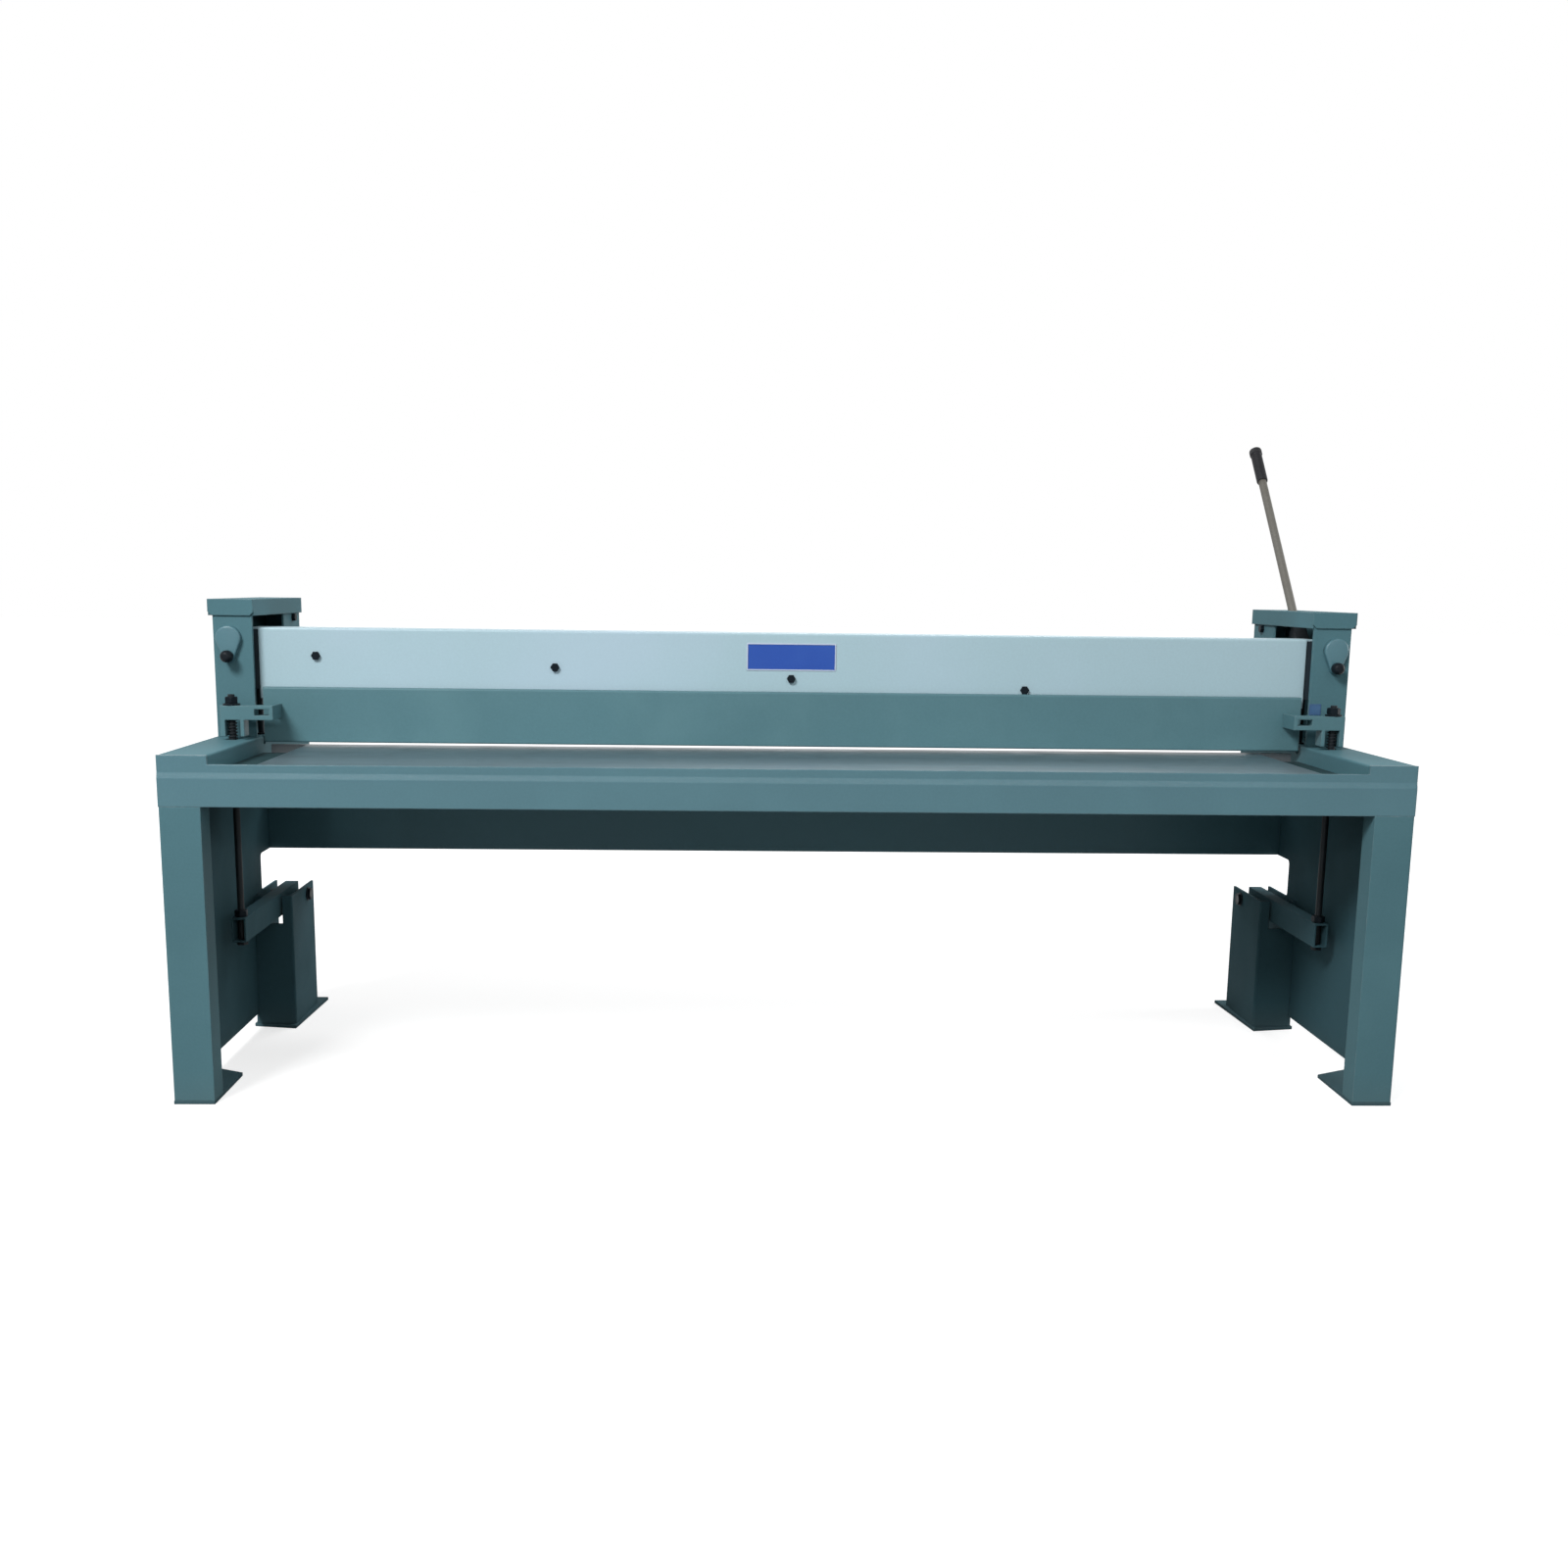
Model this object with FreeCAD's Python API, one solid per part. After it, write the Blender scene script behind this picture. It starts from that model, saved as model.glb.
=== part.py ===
import FreeCAD
import Part
import math
import os

os.makedirs("parts", exist_ok=True)

# Frame of the part: X across the machine, Y from the operator to the back, Z up.
# X = 0 is the middle, Y = 0 the cutting plane, Z = 0 the floor. All sizes in mm.
# The three overall sizes are the cutting length, the depth of the stand and the height of its top.

# Overall
blade_length = 2540.0
front_y = -455.0
side_frame_back_y = 425.0
frame_top_z = 795.0

# Front portal, folded from the same sheet as the side frames
stand_sheet = 6.0
leg_width = 92.0
portal_return = 60.0
rail_height = 114.0
rail_crease_height = 63.0
rail_crease_rise = 13.0
rail_crease_depth = 3.0
fold_radius = 5.0

# Side frames, rear legs and feet
side_flange_depth = 105.0
side_panel_bottom_z = 37.0
rear_leg_inset = 17.0
rear_leg_depth = 223.0
rear_leg_lip = 40.0
notch_height = 100.0
notch_depth = 165.0
notch_corner_radius = 12.0
foot_thickness = 8.0
front_foot_inner_length = 212.0
front_foot_outer_length = 259.0
rear_foot_overhang = 34.0
rear_foot_front_overhang = 3.0
rear_foot_back_overhang = 17.0
rear_foot_front_skew = 21.0
anchor_inset = 50.0
anchor_front_inset = 132.0
anchor_rear_inset = 138.0
anchor_hole_d = 18.0
rear_beam_inset = 80.0
rear_beam_drop = 50.0
rear_beam_height = 185.0
rear_beam_flange = 55.0

# Bed and lower blade
bed_drop = 20.0
bed_plate_thickness = 20.0
bed_trough_width = 104.0
bed_plate_bevel = 2.0
bed_tray_sheet = 5.0
bed_beam_depth = 80.0
bed_beam_height = 90.0
bed_beam_wall = 8.0
blade_thickness = 16.0
blade_height = 60.0
blade_clearance = 0.2

# Blade beam
beam_sheet = 5.0
beam_front_y = -5.0
beam_height = 172.0
beam_face_drop = 22.0
beam_lip = 25.0
beam_end_gap = 5.0
beam_end_clearance = 5.0
blade_open_gap = 9.0
blade_overlap = 5.0
blade_drop_per_mm = 0.0378
carrier_thickness = 20.0
carrier_reveal = 6.0
carrier_above_bolts = 30.0
beam_bolt_count = 5
beam_bolt_end_margin = 106.0
beam_bolt_shift_x = 8.0
beam_bolt_drop = 111.0
beam_bolt_d = 12.0
beam_bolt_sides = 12
beam_bolt_flats = 19.0
beam_bolt_head_height = 7.5
end_plate_inset = 5.0
end_plate_thickness = 10.0
end_plate_front_wall = 17.0
end_plate_back_wall = 14.0
slide_lap = 13.0
slide_engagement = 11.5
slide_thickness = 8.0
beam_slot_side_gap = 4.0
beam_slot_end_gap = 6.0

# Towers
blade_end_room = 29.0
tower_inner_ledge = 3.0
tower_outer_ledge = 6.0
tower_plate = 8.0
tower_post_sheet = 6.0
tower_post_depth = 158.0
post_hole_inset = 73.0
post_hole_drop = 11.0
post_hole_d = 14.0
cap_inner_overhang = 5.0
cap_outer_overhang = 9.0
cap_headroom = 28.0
cap_skirt = 39.0
cap_sheet = 4.0
cap_corner_chamfer = 10.0
lever_slot_side_gap = 4.0
lever_slot_front_gap = 11.0
lever_slot_back_gap = 5.0

# Guides and return springs
guide_width = 52.0
guide_rise = 5.0
guide_front_wall = 27.0
guide_back_wall = 12.0
guide_running_gap = 0.3
spring_inset = 32.0
spring_tube_wall = 4.0
spring_tube_floor = 6.0
spring_tube_rise = 4.0
spring_tube_fit = 0.4
spring_packed_length = 13.0
plunger_d = 14.0
plunger_side_gap = 1.0
plunger_engagement = 20.0

# Lever and cranks
shaft_d = 40.0
shaft_end_gap = 6.0
bearing_wall = 22.0
bearing_width = 14.0
bearing_gap = 5.0
running_fit = 0.05
lever_lean_deg = 40.8
lever_d = 22.0
lever_tip_radius = 795.7
grip_length = 120.7
grip_wall = 4.0
grip_rim_step = 2.0
grip_rim_length = 20.0
grip_bond = 0.2
grip_end_thickness = 6.0
lever_hub_wall = 13.0
lever_root_wall = 8.0
lever_socket_wall = 6.0
lever_socket_headroom = 7.0
lever_socket_gap = 3.0
lever_socket_clip = 4.0
lever_swing_deg = 80.0
crank_gap = 4.0
crank_thickness = 12.0
crank_root_wall = 15.0
crank_tip_wall = 9.0
crank_tip_clip = 9.0
crank_pin_d = 14.0
crank_pin_drop = 32.0
crank_pin_overhang = 4.0
roller_wall = 5.0
roller_width = 12.0
roller_slot_clearance = 2.5

# Clamp bar, yokes, rods and arms
clamp_bolt_gap = 0.5
clamp_depth = 22.0
clamp_end_gap = 19.0
clamp_sheet = 5.0
clamp_fold_radius = 4.0
clamp_height = 134.0
sheet_gap = 8.0
clamp_rest_gap = 0.5
yoke_reach = 80.0
yoke_depth = 36.0
yoke_length_inside = 102.0
yoke_length_outside = 23.0
yoke_rise = 48.0
yoke_height = 34.0
yoke_slot_length = 35.0
yoke_slot_rise = 11.0
yoke_slot_height = 15.0
yoke_leg_width = 11.0
yoke_web_offset = 33.0
yoke_web_width = 9.0
yoke_leg_play = 1.0
yoke_lug_width = 9.0
rod_inset = 62.0
rod_d = 16.0
rod_clearance = 4.0
arm_width = 34.0
arm_height = 60.0
arm_wall = 4.0
arm_drop = 55.0
arm_front_overhang = 26.0
arm_back_overhang = 27.0
arm_pivot_inset = 63.0
arm_pivot_d = 20.0
arm_pin_overhang = 10.0
arm_boss_wall = 8.0
arm_slot_side_gap = 5.0
arm_slot_bottom_gap = 20.0
rod_nut_flats = 24.0
rod_nut_height = 16.0
rod_head_height = 10.0
rod_nut_play = 0.3
rod_end_rise = 10.0

# Lock handles on the towers
handle_inset = 38.5
handle_drop = 54.0
handle_hub_d = 60.0
handle_tip_d = 28.0
handle_thickness = 13.0
handle_throw = 43.0
handle_seat_gap = 0.3
handle_spindle_d = 14.0
handle_knob_d = 29.0
handle_knob_sides = 12
handle_knob_length = 27.0

sides = (("left", -1.0), ("right", 1.0))

# Across the machine: from the blade's end outwards through all that stands side by side in a tower
tower_inner_x = blade_length / 2.0 + blade_end_room
end_plate_x = tower_inner_x + end_plate_inset
crank_inner_x = end_plate_x + end_plate_thickness + crank_gap
lever_socket_width = lever_d + 2.0 * lever_socket_wall
lever_x = crank_inner_x + crank_thickness + lever_socket_gap + lever_socket_width / 2.0
bearing_inner_x = lever_x + lever_socket_width / 2.0 + bearing_gap
tower_outer_x = bearing_inner_x + bearing_width + tower_plate
half_width = tower_outer_x + tower_outer_ledge
side_inner_x = tower_inner_x - tower_inner_ledge - stand_sheet
side_frame_width = half_width - side_inner_x
leg_inner_x = half_width - leg_width
panel_outer_x = half_width - stand_sheet
panel_inner_x = panel_outer_x - stand_sheet
anchor_x = half_width - anchor_inset
cap_inner_x = tower_inner_x - cap_inner_overhang
cap_outer_x = tower_outer_x + cap_outer_overhang
guide_inner_x = tower_outer_x - tower_plate - guide_width
beam_half_length = tower_inner_x - beam_end_gap
slide_inner_x = beam_half_length - slide_lap
slide_outer_x = guide_inner_x + slide_engagement
spring_x = end_plate_x + end_plate_thickness / 2.0
clamp_half_length = tower_inner_x - clamp_end_gap
rod_x = half_width - rod_inset
yoke_inner_x = rod_x - yoke_length_inside
yoke_outer_x = rod_x + yoke_length_outside
yoke_web_x = rod_x - yoke_web_offset
handle_x = tower_outer_x - handle_inset

# Stroke, cranks and what they are made from
blade_travel = float(round(blade_drop_per_mm * blade_length + blade_open_gap + blade_overlap))
clamp_travel = sheet_gap - clamp_rest_gap
crank_half_swing = math.radians(lever_swing_deg / 2.0)
crank_radius = blade_travel / 2.0 / math.sin(crank_half_swing)
roller_d = crank_pin_d + 2.0 * roller_wall
roller_reach = roller_d / 2.0 + roller_slot_clearance
spring_tube_bore = plunger_d + 2.0 * plunger_side_gap
spring_tube_d = spring_tube_bore + 2.0 * spring_tube_wall
lever_slot_width = lever_d + 2.0 * lever_slot_side_gap

# From front to back
slide_front_y = beam_front_y + beam_sheet
slide_back_y = slide_front_y + slide_thickness
tower_front_y = slide_front_y - guide_front_wall - tower_plate
guide_back_y = slide_back_y + guide_back_wall
rear_leg_back_y = side_frame_back_y - rear_leg_inset
rear_leg_front_y = rear_leg_back_y - rear_leg_depth
tower_back_y = rear_leg_back_y
tower_post_front_y = tower_back_y - tower_post_depth
post_hole_y = tower_back_y - post_hole_inset
notch_front_y = side_frame_back_y - notch_depth
rear_beam_y = side_frame_back_y - rear_beam_inset
spring_y = slide_back_y + spring_inset
shaft_y = float(round(slide_back_y + end_plate_front_wall + roller_reach + crank_radius))
crank_pin_y = shaft_y - crank_radius * math.cos(crank_half_swing)
beam_back_y = float(round(crank_pin_y + roller_reach + end_plate_back_wall))
clamp_back_y = beam_front_y - beam_bolt_head_height - clamp_bolt_gap
clamp_front_y = clamp_back_y - clamp_depth
yoke_front_y = clamp_front_y - yoke_reach
rod_y = yoke_front_y + yoke_depth / 2.0
arm_pivot_y = rear_leg_back_y - arm_pivot_inset
arm_front_y = rod_y - arm_front_overhang
arm_back_y = arm_pivot_y + arm_back_overhang

# From the top of the stand upwards and downwards
rail_bottom_z = frame_top_z - rail_height
rail_crease_z = rail_bottom_z + rail_crease_height
notch_top_z = frame_top_z - side_flange_depth - rear_beam_drop - rear_beam_height
rear_leg_top_z = notch_top_z - notch_height
arm_bottom_z = rear_leg_top_z - arm_drop
arm_axis_z = arm_bottom_z + arm_height / 2.0
bed_top_z = frame_top_z - bed_drop
clamp_bottom_z = bed_top_z + sheet_gap
clamp_top_z = clamp_bottom_z + clamp_height
yoke_bottom_z = frame_top_z + yoke_rise
yoke_top_z = yoke_bottom_z + yoke_height
blade_tip_z = bed_top_z + blade_open_gap
blade_middle_z = blade_tip_z + blade_drop_per_mm * blade_length / 2.0
rake_deg = math.degrees(math.atan(blade_drop_per_mm))
beam_end_bottom_z = frame_top_z + blade_travel + beam_end_clearance
beam_bottom_z = beam_end_bottom_z - beam_face_drop
beam_top_z = beam_bottom_z + beam_height
beam_bolt_line_z = beam_top_z - beam_bolt_drop
guide_bottom_z = frame_top_z + beam_end_clearance
guide_top_z = beam_top_z + guide_rise
crank_pin_z = beam_top_z - beam_sheet - crank_pin_drop
shaft_z = crank_pin_z - blade_travel / 2.0
plunger_bottom_z = frame_top_z + spring_tube_rise - plunger_engagement
spring_tube_bottom_z = plunger_bottom_z - blade_travel - spring_packed_length - spring_tube_floor
cap_bottom_z = beam_top_z + cap_headroom
cap_top_z = cap_bottom_z + cap_skirt
post_hole_z = cap_bottom_z - post_hole_drop
handle_z = cap_bottom_z - handle_drop

# The lever's slot in the cap reaches a little past the lever at both ends of its swing, to a whole millimetre
lever_socket_radius = cap_top_z - cap_sheet - lever_socket_headroom - shaft_z
lean_back = math.radians(lever_lean_deg)
lean_front = math.radians(lever_swing_deg - lever_lean_deg)
reach_back = (cap_top_z - shaft_z) * math.tan(lean_back) + lever_d / 2.0 / math.cos(lean_back)
reach_front = (cap_top_z - shaft_z) * math.tan(lean_front) + lever_d / 2.0 / math.cos(lean_front)
lever_slot_back_y = float(math.ceil(shaft_y + reach_back + lever_slot_back_gap))
lever_slot_front_y = float(math.floor(shaft_y - reach_front - lever_slot_front_gap))


def box(x0, x1, y0, y1, z0, z1):
    return Part.makeBox(x1 - x0, y1 - y0, z1 - z0, FreeCAD.Vector(x0, y0, z0))


def rod(start, direction, diameter, length):
    return Part.makeCylinder(diameter / 2.0, length, FreeCAD.Vector(*start), FreeCAD.Vector(*direction))


def prism(points, plane, start, end):
    # A closed outline in one plane, drawn out along the axis that the plane leaves free.
    corners = []
    for a, b in points:
        if plane == "yz":
            corners.append(FreeCAD.Vector(start, a, b))
        elif plane == "xz":
            corners.append(FreeCAD.Vector(a, start, b))
        else:
            corners.append(FreeCAD.Vector(a, b, start))
    axis = {"yz": (1, 0, 0), "xz": (0, 1, 0), "xy": (0, 0, 1)}[plane]
    wire = Part.makePolygon(corners + [corners[0]])
    return Part.Face(wire).extrude(FreeCAD.Vector(*axis) * (end - start))


def on_side(shape, side):
    # Every paired piece is drawn on the right; the left one is its mirror image.
    if side > 0:
        return shape
    return shape.mirror(FreeCAD.Vector(0, 0, 0), FreeCAD.Vector(1, 0, 0))


def round_edges_along(shape, direction, radius, keep):
    # Rounds the straight edges that run along a direction and whose centre passes the test.
    chosen = []
    for edge in shape.Edges:
        if edge.Curve.TypeId != "Part::GeomLine":
            continue
        along = abs(edge.tangentAt(edge.FirstParameter).dot(FreeCAD.Vector(*direction)))
        if along > 0.999 and keep(edge.CenterOfMass):
            chosen.append(edge)
    return shape.makeFillet(radius, chosen)


def many_sided(centre, corner_d, count, plane, start, end):
    # A regular prism, its size given by the circle through its corners.
    radius = corner_d / 2.0
    points = []
    for step in range(count):
        angle = 2.0 * math.pi * step / count
        points.append((centre[0] + radius * math.cos(angle), centre[1] + radius * math.sin(angle)))
    return prism(points, plane, start, end)


def hexagon(centre, flats, plane, start, end):
    return many_sided(centre, flats * 2.0 / math.sqrt(3.0), 6, plane, start, end)


def raked(shape):
    # Blade parts are drawn level and then tipped about the middle of the cutting edge.
    tipped = shape.copy()
    tipped.rotate(FreeCAD.Vector(0, 0, blade_middle_z), FreeCAD.Vector(0, 1, 0), rake_deg)
    return tipped


def save(name, shape):
    if not shape.isValid():
        raise ValueError(name + " is not a valid shape")
    shape.exportStep("parts/" + name + ".step")
    print(name, len(shape.Solids), round(shape.Volume / 1000.0, 1))


def tapered_link(big_centre, big_d, small_centre, small_d, start, end):
    # Two round eyes in the XZ plane joined by their common tangents, drawn out along Y.
    big = big_d / 2.0
    small = small_d / 2.0
    run = (small_centre[0] - big_centre[0], small_centre[1] - big_centre[1])
    length = math.hypot(run[0], run[1])
    heading = math.atan2(run[1], run[0])
    spread = math.acos((big - small) / length)
    corners = []
    for centre, radius, turn in (
        (big_centre, big, spread),
        (small_centre, small, spread),
        (small_centre, small, -spread),
        (big_centre, big, -spread),
    ):
        angle = heading + turn
        corners.append((centre[0] + radius * math.cos(angle), centre[1] + radius * math.sin(angle)))
    link = prism(corners, "xz", start, end)
    for centre, diameter in ((big_centre, big_d), (small_centre, small_d)):
        link = link.fuse(rod((centre[0], start, centre[1]), (0, 1, 0), diameter, end - start))
    return link.removeSplitter()


def shaft_bar(along, length, root_width, tip_width, clip, start, end):
    # A flat bar from the cross shaft outwards, tapered, its corners clipped, with the shaft's bore.
    root = root_width / 2.0
    tip = tip_width / 2.0
    outline = [
        (-root, -root / 2.0),
        (-root / 2.0, -root),
        (length - clip, -tip),
        (length, clip - tip),
        (length, tip - clip),
        (length - clip, tip),
        (-root / 2.0, root),
        (-root, root / 2.0),
    ]
    corners = []
    for run, offset in outline:
        y = shaft_y + along[0] * run - along[1] * offset
        z = shaft_z + along[1] * run + along[0] * offset
        corners.append((y, z))
    bar = prism(corners, "yz", start, end)
    return bar.cut(rod((start - 1, shaft_y, shaft_z), (1, 0, 0), shaft_d, end - start + 2))


def make_front_rail():
    lower_y = front_y
    upper_y = front_y + rail_crease_depth
    crease_top = rail_crease_z + rail_crease_rise
    section = [
        (lower_y, rail_bottom_z),
        (lower_y, rail_crease_z),
        (upper_y, crease_top),
        (upper_y, frame_top_z),
        (front_y + stand_sheet + rail_crease_depth, frame_top_z),
        (front_y + stand_sheet + rail_crease_depth, crease_top),
        (front_y + stand_sheet, rail_crease_z),
        (front_y + stand_sheet, rail_bottom_z + stand_sheet),
        (front_y + portal_return, rail_bottom_z + stand_sheet),
        (front_y + portal_return, rail_bottom_z),
    ]
    rail = prism(section, "yz", -half_width, half_width)
    back = front_y + portal_return
    rail = rail.cut(box(-side_inner_x, side_inner_x, front_y - 1, back, bed_top_z, frame_top_z + 1))
    panel_front = front_y + stand_sheet + rail_crease_depth
    for _, side in sides:
        panel_slot = box(panel_inner_x, panel_outer_x, panel_front, back + 1, rail_bottom_z - 1,
                         rail_bottom_z + stand_sheet + 1)
        rail = rail.cut(on_side(panel_slot, side))
    return rail


def make_front_leg():
    inside = leg_inner_x + stand_sheet
    outside = half_width - stand_sheet
    back = front_y + portal_return
    section = [
        (leg_inner_x, front_y),
        (half_width, front_y),
        (half_width, back),
        (outside, back),
        (outside, front_y + stand_sheet),
        (inside, front_y + stand_sheet),
        (inside, back),
        (leg_inner_x, back),
    ]
    leg = prism(section, "xy", foot_thickness, rail_bottom_z)

    def at_front(centre):
        on_outer_edge = centre.x > half_width - 1
        return on_outer_edge and centre.y < front_y + 1

    return round_edges_along(leg, (0, 0, 1), fold_radius, at_front)


def make_side_top():
    front = front_y + stand_sheet + rail_crease_depth
    top = box(side_inner_x, half_width, front, side_frame_back_y, frame_top_z - side_flange_depth, frame_top_z)
    hollow = box(side_inner_x + stand_sheet, half_width - stand_sheet, front_y, side_frame_back_y + 1,
                 frame_top_z - side_flange_depth - 1, frame_top_z - stand_sheet)
    top = top.cut(hollow)

    def upper_corner(centre):
        return centre.z > frame_top_z - 1

    top = round_edges_along(top, (0, 1, 0), fold_radius, upper_corner)
    half_hole = rod_d / 2.0 + rod_clearance
    below = frame_top_z - 2.0 * stand_sheet
    rod_hole = box(rod_x - half_hole, rod_x + half_hole, rod_y - half_hole, rod_y + half_hole,
                   below, frame_top_z + 1)
    spring_hole = rod((spring_x, spring_y, below), (0, 0, 1), spring_tube_d + spring_tube_fit, 3.0 * stand_sheet)
    # The end of the beam's face plate dips into this slot at the bottom of the stroke.
    beam_slot = box(side_inner_x - 1, beam_half_length + beam_slot_side_gap,
                    beam_front_y - beam_slot_end_gap, slide_front_y + beam_slot_end_gap,
                    beam_bottom_z - blade_travel - beam_slot_side_gap, frame_top_z + 1)
    return top.cut(rod_hole).cut(spring_hole).cut(beam_slot)


def make_side_panel():
    front = front_y + stand_sheet + rail_crease_depth
    outline = [
        (front, side_panel_bottom_z),
        (rear_leg_front_y, side_panel_bottom_z),
        (rear_leg_front_y, foot_thickness),
        (rear_leg_back_y, foot_thickness),
        (rear_leg_back_y, rear_leg_top_z),
        (notch_front_y, rear_leg_top_z),
        (notch_front_y, notch_top_z),
        (side_frame_back_y, notch_top_z),
        (side_frame_back_y, frame_top_z - stand_sheet),
        (front, frame_top_z - stand_sheet),
    ]
    panel = prism(outline, "yz", panel_inner_x, panel_outer_x)

    def notch_corner(centre):
        return abs(centre.y - notch_front_y) < 1

    panel = round_edges_along(panel, (1, 0, 0), notch_corner_radius, notch_corner)
    pin = rod((side_inner_x, arm_pivot_y, arm_axis_z), (1, 0, 0), arm_pivot_d, side_frame_width)
    return panel.cut(pin)


def make_rear_leg():
    inner = side_inner_x
    section = [
        (inner, rear_leg_front_y),
        (panel_inner_x, rear_leg_front_y),
        (panel_inner_x, rear_leg_front_y + rear_leg_lip),
        (panel_inner_x - stand_sheet, rear_leg_front_y + rear_leg_lip),
        (panel_inner_x - stand_sheet, rear_leg_front_y + stand_sheet),
        (inner + stand_sheet, rear_leg_front_y + stand_sheet),
        (inner + stand_sheet, rear_leg_back_y),
        (inner, rear_leg_back_y),
    ]
    leg = prism(section, "xy", foot_thickness, rear_leg_top_z)

    def front_corner(centre):
        return centre.y < rear_leg_front_y + 1 and centre.x < inner + 1

    leg = round_edges_along(leg, (0, 0, 1), fold_radius, front_corner)
    half_slot = arm_width / 2.0 + arm_slot_side_gap
    slot = box(rod_x - half_slot, rod_x + half_slot, rear_leg_front_y - 1, rear_leg_front_y + stand_sheet + 1,
               arm_bottom_z - arm_slot_bottom_gap, rear_leg_top_z + 1)
    pin = rod((side_inner_x - 1, arm_pivot_y, arm_axis_z), (1, 0, 0), arm_pivot_d, side_frame_width)
    return leg.cut(slot).cut(pin)


def make_front_foot():
    outline = [
        (leg_inner_x, front_y),
        (half_width, front_y),
        (half_width, front_y + front_foot_outer_length),
        (leg_inner_x, front_y + front_foot_inner_length),
    ]
    foot = prism(outline, "xy", 0.0, foot_thickness)
    hole_y = front_y + anchor_front_inset
    return foot.cut(rod((anchor_x, hole_y, -1), (0, 0, 1), anchor_hole_d, foot_thickness + 2))


def make_rear_foot():
    front = rear_leg_front_y
    back = side_frame_back_y + rear_foot_overhang
    outline = [
        (side_inner_x - rear_foot_front_overhang, front - rear_foot_front_skew),
        (half_width, front),
        (half_width, back),
        (side_inner_x - rear_foot_back_overhang, back),
    ]
    foot = prism(outline, "xy", 0.0, foot_thickness)
    hole_y = front + anchor_rear_inset
    return foot.cut(rod((anchor_x, hole_y, -1), (0, 0, 1), anchor_hole_d, foot_thickness + 2))


def make_rear_beam():
    front = rear_beam_y
    top = notch_top_z + rear_beam_height
    section = [
        (front, notch_top_z),
        (front + rear_beam_flange, notch_top_z),
        (front + rear_beam_flange, notch_top_z + stand_sheet),
        (front + stand_sheet, notch_top_z + stand_sheet),
        (front + stand_sheet, top - stand_sheet),
        (front + rear_beam_flange, top - stand_sheet),
        (front + rear_beam_flange, top),
        (front, top),
    ]
    beam = prism(section, "yz", -panel_inner_x, panel_inner_x)

    def front_edge(centre):
        return centre.y < front + 1

    return round_edges_along(beam, (1, 0, 0), fold_radius, front_edge)


def make_bed_tray():
    # Sheet under the bed plate: closed across the troughs, turned down at its back edge.
    top = bed_top_z - bed_plate_thickness
    front = front_y + stand_sheet + rail_crease_depth
    return box(-side_inner_x, side_inner_x, front, -blade_thickness, top - bed_tray_sheet, top)


def make_bed_beam():
    back = -blade_thickness
    top = bed_top_z - bed_plate_thickness - bed_tray_sheet
    wall = bed_beam_wall
    outer = box(-side_inner_x, side_inner_x, back - bed_beam_depth, back, top - bed_beam_height, top)
    hollow = box(-side_inner_x - 1, side_inner_x + 1, back - bed_beam_depth + wall, back - wall,
                 top - bed_beam_height + wall, top - wall)
    return outer.cut(hollow)


def make_bed_plate():
    half = side_inner_x - bed_trough_width
    front = front_y + stand_sheet + rail_crease_depth
    plate = box(-half, half, front, -blade_thickness, bed_top_z - bed_plate_thickness, bed_top_z)
    top_edges = []
    for edge in plate.Edges:
        centre = edge.CenterOfMass
        if centre.z > bed_top_z - 1 and abs(centre.x) > half - 1:
            top_edges.append(edge)
    return plate.makeChamfer(bed_plate_bevel, top_edges)


def make_lower_blade():
    half = blade_length / 2.0
    return box(-half, half, -blade_thickness, 0.0, bed_top_z - blade_height, bed_top_z)


def make_upper_blade():
    half = blade_length / 2.0
    back = blade_clearance + blade_thickness
    blade = box(-half, half, blade_clearance, back, blade_middle_z, blade_middle_z + blade_height)
    return raked(blade)


def bolt_places():
    spaces = beam_bolt_count - 1
    pitch = (blade_length - 2.0 * beam_bolt_end_margin) / spaces
    places = []
    for index in range(beam_bolt_count):
        x = beam_bolt_shift_x + pitch * (index - spaces / 2.0)
        places.append((x, beam_bolt_line_z - blade_drop_per_mm * x))
    return places


def bolt_shank(place, start, end):
    # The shanks and their holes are hidden and repeat, so they are twelve-sided and not round.
    return many_sided(place, beam_bolt_d, beam_bolt_sides, "xz", start, end)


def carrier_back_y():
    return blade_clearance + blade_thickness + carrier_thickness


def make_blade_carrier():
    # Full depth above the blade, so that the bolts clamp it to the beam; stepped behind the blade.
    half = blade_length / 2.0
    front = slide_front_y
    seat = blade_clearance + blade_thickness
    back = carrier_back_y()
    low = blade_middle_z + carrier_reveal
    step = blade_middle_z + blade_height
    high = beam_bolt_line_z + carrier_above_bolts
    section = [(seat, low), (back, low), (back, high), (front, high), (front, step), (seat, step)]
    carrier = raked(prism(section, "yz", -half, half))
    for place in bolt_places():
        carrier = carrier.cut(bolt_shank(place, front - 1, back + 1))
    return carrier


def make_beam_bolts():
    # Hexagon heads on the beam's face, shanks tapped into the carrier behind it.
    bolts = []
    for place in bolt_places():
        head = hexagon(place, beam_bolt_flats, "xz", beam_front_y - beam_bolt_head_height, beam_front_y)
        shank = bolt_shank(place, beam_front_y, carrier_back_y())
        bolts.append(head.fuse(shank).removeSplitter())
    return Part.makeCompound(bolts)


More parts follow.
